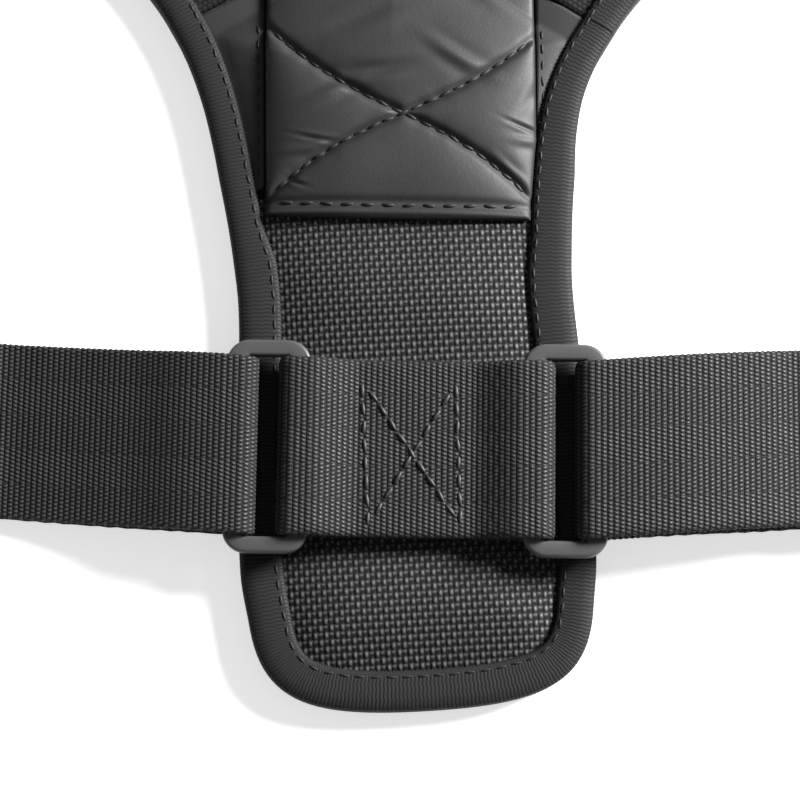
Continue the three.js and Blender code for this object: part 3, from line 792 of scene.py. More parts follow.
def fold(x, y, middle, heading, length, width):
    """One small fold in the leatherette: a soft ridge about a middle, along a heading."""
    dx, dy = x - middle[0], y - middle[1]
    c, d = math.cos(math.radians(heading)), math.sin(math.radians(heading))
    along, across = dx * c + dy * d, dy * c - dx * d
    across = across - 0.05 * along**2 / length
    off = (across / width) ** 2
    return np.exp(-((along / length) ** 2)) * (1 - 2 * off) * np.exp(-off)


# The folds, each with its middle, heading in degrees, length, width and depth
LEATHER_FOLDS = [
    ((-22, 68), -8, 5.5, 0.7, -0.35), ((-25, 66), 12, 4, 1.4, 0.3), ((23, 72), -14, 4, 0.8, -0.4),
    ((24, 69), 4, 3.5, 1.5, 0.35), ((-27, 58.5), -24, 2.5, 0.7, -0.3), ((-10, 84), 8, 7, 2.4, -0.5),
    ((8, 87), -30, 7, 2.2, 0.45), ((-14, 96), 20, 9, 3.0, -0.4), ((12, 104), -35, 9, 3.0, 0.35),
    ((-19, 79), 24, 6, 2.0, 0.35), ((25, 80), 60, 5, 1.6, -0.3), ((20, 62), -38, 4, 1.2, 0.25),
]


def leather_height(x, y, edge):
    face = face_height(*into_panel(x, y))
    seams = quilt_distances(x, y)
    seam = np.minimum(*seams)
    pull = PUCKER * np.sin(x * 1.1 + 2 * np.sin(y * 0.4)) * np.exp(-seam / 1.6)
    inside = blended_least(edge, *seams) + pull * np.clip(edge / 3, 0, 1)
    puff = QUILT_PUFF * (1 - np.exp(-inside / QUILT_FALLOFF))
    groove = 1.5 * SEAM_GROOVE * np.exp(-((seam / GROOVE_WIDTH) ** 2))
    folds = sum(depth * fold(x, y, *rest) for *rest, depth in LEATHER_FOLDS) * np.clip(seam / 2, 0, 1)
    hem_seam = SEAM_GROOVE * np.exp(-(((y - HEM_RISE - HEM_SEAM_RISE) / GROOVE_WIDTH) ** 2))
    roll = EDGE_ROLL * np.exp(-np.clip(edge, 0, None) / 0.3)
    lip = HEM_LIP * np.exp(-(((y - HEM_RISE - 0.5) / 0.4) ** 2))
    return face + CLEARANCE + FACE_CLOTH + puff + folds + lip - groove - hem_seam - roll


def leather_place(column, row):
    hem = HEM_RISE + HEM_BOW * (column**2 - 1)
    top = seam_edge(column)
    y = hem + row * (top - hem)
    x = leather_edge(-1, y) + (column + 1) / 2 * (leather_edge(1, y) - leather_edge(-1, y))
    edge = np.minimum(np.minimum((1 - np.abs(column)) * LEATHER_HALF, y - hem), top - y)
    return x, y, leather_height(x, y, edge), x, y


leather_sheet = grow("leather_sheet", np.linspace(-1, 1, 140), np.linspace(0, 1, 170), leather_place,
                     thickness=FACE_CLOTH)
finish(leather_sheet, leather, "leather", "leather_panel")

# %% [markdown]
# ## Strips beside the leatherette
# Between the leatherette and the tape a narrow strip of plain cloth shows on each side. It could be
# one piece with the nylon, but it is another cloth. So it is a sheet of its own, stretched between
# the leatherette's edge and the tape, with a slight swell along its middle.

# %% Side strips
SIDES = (("left", -1), ("right", 1))
STRIP_FOOT = NYLON_RISE + CLEARANCE
STRIP_INSET = 2.05
STRIP_SWELL = 0.3


def strip_place(side):
    def place(share, row):
        outer_up = STRIP_FOOT + row * (ARMPIT_RISE - CLEARANCE - STRIP_FOOT)
        outer_x, outer_y = on_panel(side * (panel_half(outer_up) - STRIP_INSET), outer_up)
        inner_y = STRIP_FOOT + row * (seam_edge(1.0) - STRIP_FOOT)
        inner_x = leather_edge(side, inner_y) + side * CLEARANCE
        x, y = inner_x + share * (outer_x - inner_x), inner_y + share * (outer_y - inner_y)
        return x, y, face_height(*into_panel(x, y)) + STRIP_SWELL * np.sin(share * math.pi), x, y

    return place


for side_name, side in SIDES:
    strip = grow(f"strip_sheet_{side_name}", np.linspace(0, 1, 14)[::side], np.linspace(0, 1, 60),
                 strip_place(side), thickness=FACE_CLOTH)
    finish(strip, strip_cloth, "strip", f"side_strip_{side_name}")

# %% [markdown]
# ## The ribbed tape
# The tape is folded over the edge and sewn. Its ribs run across it, a little more than one a
# millimetre. A bevelled curve could carry the section, but it would bunch up at the foot's corners
# and have no ribs. So a grid is bent instead: its columns go round a U section and its rows follow
# the outline, and each rib is a small wave along the rows.

# %% Tape
RIB_RELIEF = 0.05
TOP_START = 1.3
TAPE_SECTION = np.array([
    (BINDING_REACH, 0.0), (4.0, 0.0), (0.9, 0.0), (0.25, 0.25), (0.0, 0.9),
    (0.0, BINDING_HEIGHT / 2), (0.0, BINDING_HEIGHT - 1.5), (0.35, BINDING_HEIGHT - 0.5),
    (TOP_START, BINDING_HEIGHT), (2.8, BINDING_HEIGHT + 0.15), (4.4, BINDING_HEIGHT + 0.15),
    (6.0, BINDING_HEIGHT), (7.0, BINDING_HEIGHT - 0.1), (BINDING_REACH, BINDING_HEIGHT - 0.45),
    (BINDING_REACH, BINDING_HEIGHT - BINDING_WALL), (3.5, BINDING_HEIGHT - BINDING_WALL),
    (BINDING_WALL, BINDING_HEIGHT - BINDING_WALL), (BINDING_WALL, BINDING_WALL),
    (BINDING_REACH, BINDING_WALL), (BINDING_REACH, 0.0),
])
TAPE_GIRTH = run_length(TAPE_SECTION)
# First and last points of the section's parts: all of its outer face, the side, the top, its cut edge
OUTER_PART = (1, 13)
SIDE_PART = (3, 7)
TOP_PART = (9, 14)
CUT_PART = (12, 13)
TOOTH = 0.2
PANEL_BOW = 1.5


def within(point, part):
    return (point >= part[0]) & (point <= part[1])


def outline_stations(outline, to_surface, step):
    """Points along an outline at an even step, with the way in from the edge at each."""
    x, y = to_surface(outline[:, 0], outline[:, 1])
    length = run_length(np.column_stack([x, y]))
    at = np.linspace(0, length[-1], round(length[-1] / step) + 1)
    px, py = np.interp(at, length, x), np.interp(at, length, y)
    tx, ty = smoothed(np.gradient(px)), smoothed(np.gradient(py))
    size = np.hypot(tx, ty)
    return at, px, py, -ty / size, tx / size


def tape_round(name, outline, to_surface, turn, step, relief=0.0, wider=None):
    """The tape along an outline. turn is -1 where the outline runs the other way round."""
    at, px, py, inx, iny = outline_stations(outline, to_surface, step)
    middle = BINDING_HEIGHT / 2

    def place(column, row):
        point = np.rint(column).astype(int)
        inset, height = TAPE_SECTION[point].T
        girth = TAPE_GIRTH[point]
        x0, y0, nx, ny = (np.interp(row, at, values) for values in (px, py, inx * turn, iny * turn))
        rib = np.where(within(point, OUTER_PART), relief * (tape_ribs(girth, row) - 1), 0)
        lift = np.where(np.abs(height - middle) > middle - 1, np.sign(height - middle) * rib, 0)
        tooth = np.where(within(point, CUT_PART), TOOTH * np.sin(row * 2 * math.pi / RIB_PITCH), 0)
        if wider:
            share = (inset - TOP_START) / (BINDING_REACH - TOP_START)
            inset = inset + np.where(within(point, TOP_PART), share * wider(x0, y0), 0)
            inset = inset - eased_out(x0, y0) * (1 - np.clip(inset / BINDING_REACH, 0, 1))
        inwards = inset + tooth - np.where(within(point, SIDE_PART), rib, 0)
        return x0 + nx * inwards, y0 + ny * inwards, np.maximum(height + lift, 0), girth, row

    return grow(name, np.arange(len(TAPE_SECTION)), at, place, tube=True)


def eased_out(x, y):
    """The right side of the panel bows out a little between the ring and the yoke."""
    from_ring, to_yoke = np.clip((y + 12) / 16, 0, 1), np.clip((92 - y) / 30, 0, 1)
    return PANEL_BOW * np.clip(x / 10, 0, 1) * from_ring * to_yoke


def hand_turned(x, y):
    """How much wider than the rest the tape shows: more at the left and round the foot."""
    return np.interp(x, [-42, -25, 25, 42], [1.9, 1.2, 1.0, 0.3]) * np.clip((48 - y) / 8, 0, 1)


panel_tape = tape_round("panel_tape", PANEL_RIM, on_panel, 1, 0.25, RIB_RELIEF, hand_turned)
finish(panel_tape, tape, "binding", "panel_binding")

# %% [markdown]
# ## Back and shoulder pads
# The pads are foam in a brushed cloth, full in the middle and thin where the tape holds them. A
# cloth simulation could puff them up, but they lie flat and their crown depends only on the distance
# to the edge, so the solid model's formula is used again. The grid runs round and along the pad, and
# its upper and lower faces meet inside the tape.

# %% Pads
PAD_EDGE = BINDING_WALL + CLEARANCE


def across_share(around):
    """From the right edge to the left one over the top, and back underneath, as the grid goes round."""
    return 1 - 2 * np.abs(2 * around - 1)


def shoulder_cushion(side):
    def place(around, along):
        around = around % 1
        tip = np.clip((along - SHOULDER_LENGTH) / PAD_TIP_LENGTH, 0, 0.999)
        across = across_share(around) * np.maximum(end_half(PAD_TIP, tip) - PAD_EDGE, 0.5)
        reach = along - tip * PAD_EDGE
        x, y = on_shoulder(side)(across, reach)
        inset = outline_distance(SHOULDER_RIM, across, reach)
        # Near the yoke the pad has no edge across it, so only its two sides count
        inset = np.where(reach < 20, SHOULDER_HALF - np.abs(across), inset)
        rise = np.clip((inset - BINDING_REACH) / 2, 0, 1)
        top = np.maximum(shoulder_height(across, reach) + FACE_CLOTH + CLEARANCE, FOAM_TOP + FACE_CLOTH)
        low = PAD_EDGE * (1 - rise)
        return x, y, np.where(around < 0.5, top, low), across, reach

    return place


def panel_cushion(around, row):
    around = around % 1
    share = across_share(around)
    foot = PAD_EDGE - FOOT_DROP
    up = foot + row * (NECK_RISE - 0.5 - np.abs(share) * SEAM_RISE - foot)
    half = panel_half(np.minimum(up, ARMPIT_RISE)) - PAD_EDGE
    below = np.clip((FOOT_START - up) / (FOOT_START - foot), 0, 1)
    foot_half = np.maximum(end_half(FOOT_END, below) - PAD_EDGE, 0.5)
    across = share * np.where(up < FOOT_START, foot_half, half)
    x, y = on_panel(across, up)
    inset = rim_distance(across, up)
    crowned = face_height(across, up) - FACE_CLOTH - CLEARANCE
    low = PAD_EDGE * (1 - np.clip((inset - BINDING_REACH) / 2, 0, 1))
    low = low + 0.25 * (1 + np.sin(x * 0.9) * np.sin(y * 0.9)) * np.clip((inset - 10) / 6, 0, 1)
    return x, y, np.where(around < 0.5, crowned, low), across, up


def round_a_pad(half_count):
    """Columns round a pad, with the upper and the lower face parted at the left edge."""
    return np.concatenate([np.linspace(0, 0.499, half_count), np.linspace(0.501, 1, half_count)])


back_cushion = grow("back_cushion", round_a_pad(60), np.linspace(0, 1, 150), panel_cushion, tube=True)
finish(back_cushion, pad_cloth, "pad_cloth", "back_pad")

for side_name, side in SIDES:
    rows = np.linspace(CLEARANCE / 2, SHOULDER_LENGTH + PAD_TIP_LENGTH, 190)
    pad = grow(f"shoulder_cushion_{side_name}", round_a_pad(36), rows, shoulder_cushion(side), tube=True)
    finish(pad, pad_cloth, "pad_cloth", f"shoulder_pad_{side_name}")
    edge_tape = tape_round(f"shoulder_tape_{side_name}", SHOULDER_RIM, on_shoulder(side), side, 0.6)
    finish(edge_tape, tape, "binding", f"shoulder_binding_{side_name}")

# %% [markdown]
# ## Webbing
# Heavy webbing shows short shiny floats in columns. Each column steps up or down from the last, and
# the step changes direction at four lines along the strap, which makes the faint chevrons. A plain
# band with a bump map would look smooth where it folds round a bar, seen nearly edge on. So each
# strap is a fine grid whose floats are real relief, bent along the path that the solid model has:
# out over the ring's bar, round it and back under.

# %% Webbing
FLOAT_RELIEF = 0.14
WEB_TOP_RADIUS = 3.0
SELVEDGE_TOOTH = 0.11
EDGE_SINK = 0.35
TOP_COLUMNS = 172
UNDER_COLUMNS = 36
WOVEN_STEP = 0.4
PLAIN_STEP = 2.0

ring_low, ring_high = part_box("ring_left")
RING_X = -(ring_low.x + ring_high.x) / 2 / MM
RING_WIDTH = (ring_high.x - ring_low.x) / MM
SLOT_WIDTH = RING_WIDTH - 2 * RING_SIDE_BAR
WEB_REACH = RING_X + SLOT_WIDTH / 2
UNDER_LAYER = ring_low.z / MM - CLEARANCE - WEB_THICKNESS / 2
OVER_LAYER = ring_high.z / MM + CLEARANCE + WEB_THICKNESS / 2
STACK_LAYER = UNDER_LAYER + WEB_THICKNESS + CLEARANCE
PAD_LAYER = FOAM_TOP + SHOULDER_CROWN + FACE_CLOTH + 2 * CLEARANCE + WEB_THICKNESS / 2
FOLD_X = CLEARANCE + WEB_THICKNESS / 2 + 0.3
# Drop of the side webs outwards from the ring: share of the open run, share of the height
LEFT_MAIN = [(0.12, 0.9), (0.3, 0.62), (0.6, 0.29), (0.78, 0.22)]
LEFT_UNDER = [(0.12, 0.8), (0.3, 0.36), (0.6, 0.02), (0.78, 0.0)]
RIGHT_MAIN = [(0.12, 0.99), (0.34, 0.93), (0.62, 0.74), (0.8, 0.58)]
RIGHT_UNDER = [(0.12, 0.96), (0.34, 0.72), (0.62, 0.12), (0.8, 0.0)]
# How much the side webs climb the page outwards, in degrees, and how long their free tails are
WEB_CLIMB = {"left": 3.9, "right": 5.0}
TAIL_LENGTH = {"left": 54.0, "right": 43.0}


def fold_path(x, direction, steps=12):
    """Round a ring's bar at x: tight below the bar, and rounder above it, where the web arches."""
    path = []
    for sign, radius, layer in ((-1, WEB_FOLD_RADIUS, UNDER_LAYER), (1, WEB_TOP_RADIUS, OVER_LAYER)):
        for angle in np.radians(np.linspace(90, 0, steps))[::-sign]:
            inwards, rise = math.cos(angle) - 1, math.sin(angle) - 1
            path.append((x + direction * radius * inwards, layer + sign * radius * rise))
    return path


def ease(start, end, steps):
    """Points from start to end that leave and arrive softly."""
    t = np.linspace(0, 1, steps + 1)
    drop = 0.5 * t + 0.5 * t * t * (3 - 2 * t)
    return list(zip(start[0] + t * (end[0] - start[0]), start[1] + drop * (end[1] - start[1])))


def web_band(name, path, drift, shows, press=None):
    """A band of webbing along a path of (x, z). drift moves it up the page by where it is in x.

    shows says from where to where, in millimetres along the path, the woven face can be seen.
    """
    path = np.array(path)
    length = run_length(path)
    dense = np.linspace(0, length[-1], 1200)
    dx, dz = np.interp(dense, length, path[:, 0]), np.interp(dense, length, path[:, 1])
    tx, tz = smoothed(np.gradient(dx)), smoothed(np.gradient(dz))
    size = np.hypot(tx, tz)
    rows = finer_steps([0.0, *shows, length[-1]], [PLAIN_STEP, WOVEN_STEP, PLAIN_STEP])
    half, t = WEB_WIDTH / 2, WEB_THICKNESS / 2
    top, under = np.linspace(-half, half, TOP_COLUMNS), np.linspace(half, -half, UNDER_COLUMNS)
    # For each column round the band: its place across, its height and whether floats stand up or down
    round_across = np.concatenate([top, [half + 0.05], under, [-half - 0.05, -half]])
    woven = np.concatenate([np.ones(TOP_COLUMNS), [0], -np.ones(UNDER_COLUMNS), [0, 1]])
    round_height = woven * t

    def place(column, row):
        k = np.rint(column).astype(int)
        across, height, face = round_across[k], round_height[k], woven[k]
        x0, z0, nx, nz = (np.interp(row, dense, values) for values in (dx, dz, -tz / size, tx / size))
        tooth = SELVEDGE_TOOTH * np.sin(row * 2 * math.pi / FLOAT_LENGTH)
        selvedge = np.where(np.abs(across) > half - 0.01, tooth, 0)
        soft = np.clip((half - np.abs(across)) / 0.8, 0, 1) ** 0.5
        relief = FLOAT_RELIEF * (web_floats(across, row) - 1) - EDGE_SINK * (1 - soft)
        out = height + face * relief
        y = drift(x0) + across + np.sign(across) * selvedge
        if press:
            z0 = z0 - np.where((height > 0) & (z0 > STACK_LAYER - 0.1), press(x0, y), 0)
        return x0 + nx * out, y, np.maximum(z0 + nz * out, 0.02), across, row

    print(f"{name}: {length[-1]:.1f} mm of webbing")
    return grow(name, np.arange(len(round_across)), rows, place, tube=True)


def centre_path():
    bar = RING_X - SLOT_WIDTH / 2 + FOLD_X
    top_start = RING_X - RING_WIDTH / 2 - CLEARANCE
    right = [(CLEARANCE, UNDER_LAYER), *fold_path(bar, 1),
             *ease((top_start, OVER_LAYER), (top_start - WEB_DROP_RUN, STACK_LAYER), 20)]
    return right + [(-x, z) for x, z in reversed(right)]


# The sewn box: two columns of stitches and a cross between them, as (x, y) pairs
BOX_SEAMS = [
    ((-11.8, 14.2), (-9.9, -17.2)), ((8.3, 14.2), (9.6, -16.4)),
    ((-10.4, 12.6), (8.4, -14.6)), ((7.2, 12.2), (-8.8, -14.8)),
]


def box_press(x, y):
    """How deep the sewn box pulls the webbing down, with a little bulge between its seams."""
    near = sides_distance(BOX_SEAMS, x, y)
    bulge = 0.3 * np.exp(-(((x + 1) / 7) ** 2) - ((np.abs(y) - 7) / 5) ** 2)
    return 0.45 * np.exp(-((near / 1.3) ** 2)) - bulge


centre = web_band("centre_webbing", centre_path(), lambda x: 0 * x, (24, 100), box_press)
finish(centre, webbing, "webbing", "centre_web")


def smooth_run(rows):
    at = np.linspace(rows[0][0], rows[-1][0], 60)
    return list(zip(at, smooth_table(rows, at)))


def side_path(side_name, side):
    """From the pad down to the ring, round its bar, and back out underneath to the free tail."""
    main, under = (LEFT_MAIN, LEFT_UNDER) if side < 0 else (RIGHT_MAIN, RIGHT_UNDER)
    start = RING_X + RING_WIDTH / 2 + WEB_THICKNESS / 2
    run = PAD_TIP_REACH + side * YOKE_X - start
    tip, lying = start + run, WEB_THICKNESS / 2
    upper = [(start, OVER_LAYER), *((start + share * run, OVER_LAYER * height) for share, height in main),
             (tip - 2, PAD_LAYER)]
    lower = [(start, UNDER_LAYER),
             *((start + share * run, lying + height * (UNDER_LAYER - lying)) for share, height in under)]
    return [(tip + PAD_OVERLAP, PAD_LAYER), (tip + 3, PAD_LAYER), *reversed(smooth_run(upper)),
            *reversed(fold_path(WEB_REACH - FOLD_X, -1)), *smooth_run(lower),
            (start + TAIL_LENGTH[side_name], lying)]


def climb(side_name):
    """How far up the page a side web has come at x."""
    slope = math.tan(math.radians(WEB_CLIMB[side_name]))
    return lambda x: np.maximum(0, np.abs(x) - WEB_REACH) * slope


for side_name, side in SIDES:
    path = [(side * x, z) for x, z in side_path(side_name, side)]
    strap = web_band(f"side_webbing_{side_name}", path, climb(side_name), (0.5, 110))
    finish(strap, webbing, "webbing", f"side_web_{side_name}")

# %% [markdown]
# ## Rings
# A moulded ring is a rounded frame with softened rims, and it keeps the webbing from slipping back.
# Boxes joined at the corners would show seams.
# Instead two flat loops are made from four-sided grids whose corners are rounded, a bridge joins them
# into a flat frame, an extrusion makes it solid, and a bevel softens both rims.

# %% Ring frames
RING_INNER_CORNER = 0.6
RIM_RADIUS = 0.75
RIM_ANGLE = 1.2


def rounded_loop(bm, width, length, radius, height):
    """A flat rectangle with rounded corners. Its face goes, and its border edges are returned."""
    corners = bmesh.ops.create_grid(bm, x_segments=1, y_segments=1, size=0.5)["verts"]
    bmesh.ops.scale(bm, vec=(width, length, 1), verts=corners)
    bmesh.ops.translate(bm, vec=(0, 0, height), verts=corners)
    bmesh.ops.bevel(bm, geom=corners, offset=radius, segments=10, profile=0.5, material=-1,
                    affect="VERTICES", offset_type="OFFSET")
    face = max(bm.faces, key=lambda f: f.calc_area())
    edges = list(face.edges)
    bmesh.ops.delete(bm, geom=[face], context="FACES_ONLY")
    return edges


def ring_frame(name, x, low, high):
    bm = bmesh.new()
    width, length = (high.x - low.x), (high.y - low.y)
    side_bar, end_bar = RING_SIDE_BAR * MM, RING_END_BAR * MM
    outer = rounded_loop(bm, width, length, RING_CORNER * MM, low.z)
    inner = rounded_loop(bm, width - 2 * side_bar, length - 2 * end_bar, RING_INNER_CORNER * MM, low.z)
    bmesh.ops.bridge_loops(bm, edges=outer + inner)
    grown = bmesh.ops.extrude_face_region(bm, geom=bm.faces[:])
    moved = [part for part in grown["geom"] if isinstance(part, bmesh.types.BMVert)]
    bmesh.ops.translate(bm, vec=(0, 0, high.z - low.z), verts=moved)
    bmesh.ops.recalc_face_normals(bm, faces=bm.faces)
    rims = [e for e in bm.edges if len(e.link_faces) == 2 and e.calc_face_angle() > RIM_ANGLE]
    flat_rims = [e for e in rims if abs(e.verts[0].co.z - e.verts[1].co.z) < 1e-6]
    bmesh.ops.bevel(bm, geom=flat_rims, offset=RIM_RADIUS * MM, segments=4, profile=0.5, material=-1,
                    affect="EDGES", offset_type="OFFSET", clamp_overlap=True)
    bmesh.ops.translate(bm, vec=(x, (low.y + high.y) / 2, 0), verts=bm.verts)
    mesh = mesh_from(bm, name)
    mesh.shade_smooth()
    mesh.set_sharp_from_angle(angle=math.radians(40))
    return in_scene(name, mesh)


for side_name, _ in SIDES:
    low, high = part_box(f"ring_{side_name}")
    ring = ring_frame(f"ring_frame_{side_name}", (low.x + high.x) / 2, low, high)
    finish(ring, ring_plastic, "ring", f"ring_{side_name}")

# %% [markdown]
# ## Stitches
# The thread shows as short dashes: black along the hem, the quilt seams and the tape, and grey in the
# box that holds the webbing down. A dashed picture on the cloth would stay flat in raking light, so
# each dash is a small stretched ball, sunk a little into the cloth, with its length along the seam.
# Hundreds of them stay light, because each has only 32 faces.

# %% Sewing
def stitches_along(x, y, z, pitch):
    """Middles and directions of the stitches on a seam."""
    path = np.column_stack([x, y, z])
    length = run_length(path)
    count = int(length[-1] / pitch)
    at = (np.arange(count) + 0.5) * length[-1] / count

    def points_at(run):
        return np.column_stack([np.interp(run, length, axis) for axis in path.T])

    return list(zip(points_at(at), points_at(at + 0.5) - points_at(at - 0.5)))


STITCH_LEAN = 0.12


def sew(name, stitches, size, material, slot):
    """One piece of thread from (middle, direction) pairs. size is length, width and height."""
    bm = bmesh.new()
    for number, (middle, direction) in enumerate(stitches):
        forward = Vector(direction).normalized()
        lean = STITCH_LEAN * math.sin(number * 2.4)
        forward.rotate(Matrix.Rotation(lean, 3, "Z"))
        sideways = Vector((0, 0, 1)).cross(forward).normalized()
        upwards = forward.cross(sideways)
        stretch = Matrix((sideways * size[1], upwards * size[2], forward * size[0])).transposed()
        place = Matrix.Translation(Vector(middle) * MM) @ (stretch * 0.5 * MM).to_4x4()
        place[3][3] = 1
        bmesh.ops.create_uvsphere(bm, u_segments=8, v_segments=4, radius=1, matrix=place)
    mesh = mesh_from(bm, name)
    mesh.shade_smooth()
    lay_cloth_map(mesh, points_of(mesh)[:, :2] / MM)
    piece = in_scene(name, mesh)
    finish(piece, material, slot)
    print(name, "has", len(stitches), "stitches")


# %% [markdown]
# ### Seams in the leatherette
# One seam holds the hem and two cross over the quilting. Their stitches could be set down one by
# one. Here the seams' own formulas give the line, the leatherette's height gives the level, and only
# the part that stays clear of the edges is sewn.

# %% Seams in the leatherette
def on_leather(x, y):
    edge = np.minimum(np.minimum(x - leather_edge(-1, y), leather_edge(1, y) - x), y - HEM_RISE)
    return leather_height(x, y, edge)


SEAM_END_LEVEL = 54.0
SEAM_END_MARGIN = 2.5

hem_left, hem_right = (leather_edge(side, SEAM_END_LEVEL) for side in (-1, 1))
hem_x = np.linspace(hem_left + SEAM_END_MARGIN, hem_right - SEAM_END_MARGIN, 120)
hem_y = HEM_RISE + HEM_SEAM_RISE + HEM_BOW * (((hem_x - HEM_CENTRE) / LEATHER_HALF) ** 2 - 1)
leather_seams = stitches_along(hem_x, hem_y, on_leather(hem_x, hem_y) + 0.15, pitch=4.3)
for side in (1, -1):
    t = np.linspace(-30, 40, 160)
    seam_x, seam_y = QUILT_CROSS[0] + side * t, QUILT_CROSS[1] + QUILT_SLOPE * t + QUILT_BEND * t**3
    kept = (seam_x > leather_edge(-1, seam_y) + 1.5) & (seam_x < leather_edge(1, seam_y) - 1.5)
    top = seam_edge((seam_x - HEM_CENTRE) / LEATHER_HALF)
    kept = kept & (seam_y > HEM_RISE + 5.5) & (seam_y < top - 1)
    seam_x, seam_y = seam_x[kept], seam_y[kept]
    leather_seams += stitches_along(seam_x, seam_y, on_leather(seam_x, seam_y) + 0.1, pitch=3.4)
sew("leather_stitches", leather_seams, (2.9, 0.95, 0.8), seam_thread, "leather")

# %% [markdown]
# ### Seams in the strips and the tape
# A seam runs beside each edge of the leatherette, and one holds the tape all the way round, near the
# tape's cut edge. Offsetting a curve would round the corners off, so each point of the seam steps
# inwards from the outline by as much as the tape is wide there.

# %% Seams in the strips and the tape
STRIP_SEAM_OFFSET = 1.7
TAPE_SEAM_INSET = 6.4
TAPE_SEAM_LEVEL = BINDING_HEIGHT - 0.02
TAPE_STITCH = (2.3, 0.6, 0.4)
TAPE_STITCH_PITCH = 3.3

edge_seams = []
for side in (1, -1):
    seam_y = np.linspace(NYLON_RISE + 2, ARMPIT_RISE, 80)
    seam_x = leather_edge(side, seam_y) + side * STRIP_SEAM_OFFSET
    seam_z = face_height(*into_panel(seam_x, seam_y)) + 0.2
    edge_seams += stitches_along(seam_x, seam_y, seam_z, pitch=3.6)


def tape_seam(outline, to_surface, turn, wider=None):
    _, px, py, inx, iny = outline_stations(outline, to_surface, 1.0)
    inset = TAPE_SEAM_INSET + (0.82 * wider(px, py) if wider else 0)
    seam_x, seam_y = px + turn * inx * inset, py + turn * iny * inset
    return stitches_along(seam_x, seam_y, np.full(len(px), TAPE_SEAM_LEVEL), TAPE_STITCH_PITCH)


edge_seams += tape_seam(PANEL_RIM, on_panel, 1, hand_turned)
sew("edge_stitches", edge_seams, TAPE_STITCH, seam_thread, "binding")
for side_name, side in SIDES:
    pad_seam = tape_seam(SHOULDER_RIM, on_shoulder(side), side)
    sew(f"pad_stitches_{side_name}", pad_seam, TAPE_STITCH, seam_thread, "binding")

# %% [markdown]
# ### The sewn boxes
# The centre webbing is held by two columns of stitches with a cross between them, and each side web
# by a box with a cross on its pad. The thread is thicker here, and the centre webbing is pressed down
# under it. The same list of seams drives both the dent and the stitches, so they can't part.

# %% The sewn boxes
BOX_STITCH_PITCH = 3.5
TACK_START, TACK_END, TACK_HALF = 5.0, 29.0, 14.0


def straight_seam(start, end, count):
    return (np.linspace(a, b, count) for a, b in zip(start, end))


box_seams = []
for start, end in BOX_SEAMS:
    seam_x, seam_y = straight_seam(start, end, 60)
    seam_z = STACK_LAYER + WEB_THICKNESS / 2 - box_press(seam_x, seam_y) + 0.22
    box_seams += stitches_along(seam_x, seam_y, seam_z, BOX_STITCH_PITCH)
sew("box_stitches", box_seams, (3.3, 1.05, 1.0), box_thread, "webbing")

for side_name, side in SIDES:
    tip = PAD_TIP_REACH + side * YOKE_X
    near, far = tip + TACK_START, tip + TACK_END
    corners = [(near, -TACK_HALF), (far, -TACK_HALF), (far, TACK_HALF), (near, TACK_HALF)]
    tack_seams = [*zip(corners, corners[1:] + corners[:1]), corners[::2], corners[1::2]]
    tack = []
    for start, end in tack_seams:
        seam_x, seam_y = straight_seam(start, end, 40)
        seam_y = seam_y + climb(side_name)(seam_x)
        seam_z = np.full(40, PAD_LAYER + WEB_THICKNESS / 2 + 0.1)
        tack += stitches_along(side * seam_x, seam_y, seam_z, BOX_STITCH_PITCH)
    sew(f"tack_stitches_{side_name}", tack, (3.1, 0.85, 0.7), box_thread, "webbing")

# %% [markdown]
# ## Floor
# The brace lies on a white sheet. A world of plain white could stand in for it, but then no shadow
# would hold the brace down. So it is one large face with a little light of its own, which keeps it
# white around a soft shadow, and so wide that no low view shows its edge.

# %% Floor
FLOOR_SIZE = 40.0
FLOOR_DROP = 0.4

bm = bmesh.new()
bmesh.ops.create_grid(bm, x_segments=1, y_segments=1, size=FLOOR_SIZE)
bmesh.ops.translate(bm, vec=(0, 0, -FLOOR_DROP * MM), verts=bm.verts)
floor = in_scene("floor", mesh_from(bm, "floor"))
floor_paint = Paint("floor_white", Base_Color=(0.92, 0.92, 0.92, 1), Roughness=0.9,
                    Emission_Color=(1, 1, 1, 1), Emission_Strength=0.6)
floor.data.materials.append(floor_paint.material)
floor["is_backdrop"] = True
print("floor:", FLOOR_DROP, "mm below the brace")

# %% [markdown]
# ## Light
# The real one is lit by one large soft lamp from the upper right, with a bright room around it. A
# picture of a studio could light it too, but a single round lamp and an even white world give the
# same soft shadow and the highlights on the threads, to which the woven colours add painted
# highlights, and each is one number to change.

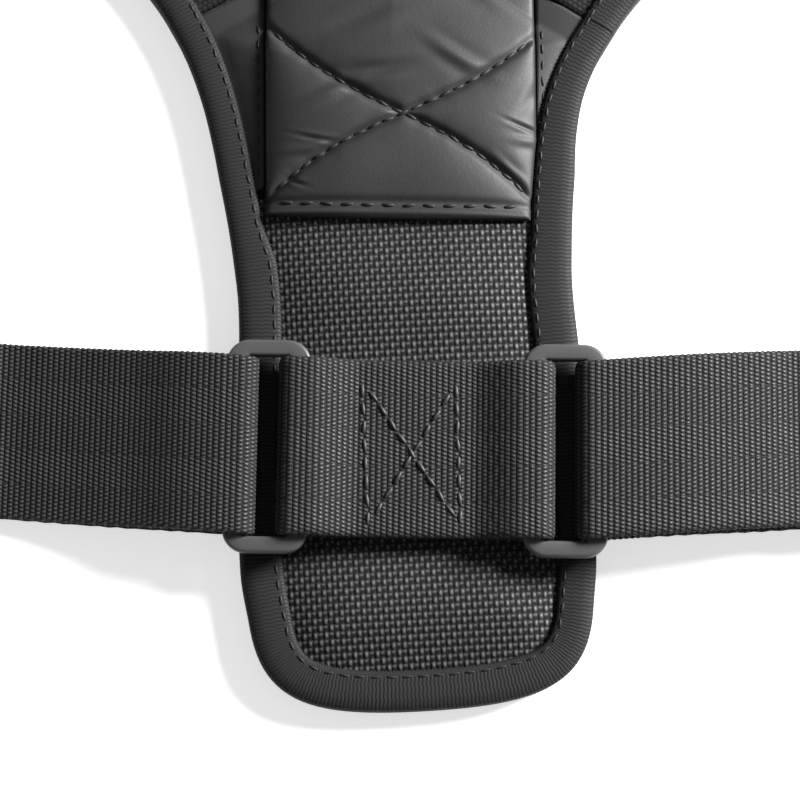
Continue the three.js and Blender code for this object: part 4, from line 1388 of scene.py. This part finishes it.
# %% Light
KEY_PLACE = (1.0, 0.56, 0.56)
KEY_SIZE = 0.46
KEY_POWER = 63
ROOM_STRENGTH = 0.22

lamp = bpy.data.lights.new("key", "AREA")
lamp.shape = "DISK"
lamp.size = KEY_SIZE
lamp.energy = KEY_POWER
key = bpy.data.objects.new("key", lamp)
key.location = KEY_PLACE
key.rotation_euler = (Vector((0, 0.02, 0)) - Vector(KEY_PLACE)).to_track_quat("-Z", "Y").to_euler()
bpy.context.scene.collection.objects.link(key)
world = bpy.data.worlds.new("studio")
bpy.context.scene.world = world
world.use_nodes = True
room = world.node_tree.nodes["Background"]
room.inputs["Color"].default_value = (1, 1, 1, 1)
room.inputs["Strength"].default_value = ROOM_STRENGTH
bpy.context.scene.view_settings.view_transform = "Standard"
print("key lamp:", KEY_POWER, "W,", KEY_SIZE, "m across")

# %% [markdown]
# ## Camera
# The camera looks almost straight down, so the lower edges of the rings and straps just show, and it
# is rolled by less than a degree. Its angle of view could be guessed. It is worked out instead from
# how wide the view is at the brace and how far away the camera stands.

# %% Camera
CAMERA_TILT = math.radians(80)
CAMERA_ROLL = math.radians(0.9)
CAMERA_DISTANCE = 0.45
CAMERA_TARGET = Vector((-3.6, 10.4, 10)) * MM
VIEW_WIDTH = 0.1708

camera_data = bpy.data.cameras.new("camera")
camera_data.angle = 2 * math.atan(VIEW_WIDTH / 2 / CAMERA_DISTANCE)
camera = bpy.data.objects.new("camera", camera_data)
offset = Vector((0, -math.cos(CAMERA_TILT), math.sin(CAMERA_TILT))) * CAMERA_DISTANCE
camera.location = CAMERA_TARGET + offset
look = (-offset).to_track_quat("-Z", "Y").to_matrix().to_4x4()
camera.rotation_euler = (look @ Matrix.Rotation(CAMERA_ROLL, 4, "Z")).to_euler()
bpy.context.scene.collection.objects.link(camera)
bpy.context.scene.camera = camera
print("angle of view, degrees:", round(math.degrees(camera_data.angle), 1))

# %% [markdown]
# ## Sizes
# The dressed brace should stand as large as the solid model. Its box is measured here.

# %% Sizes
low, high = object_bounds()
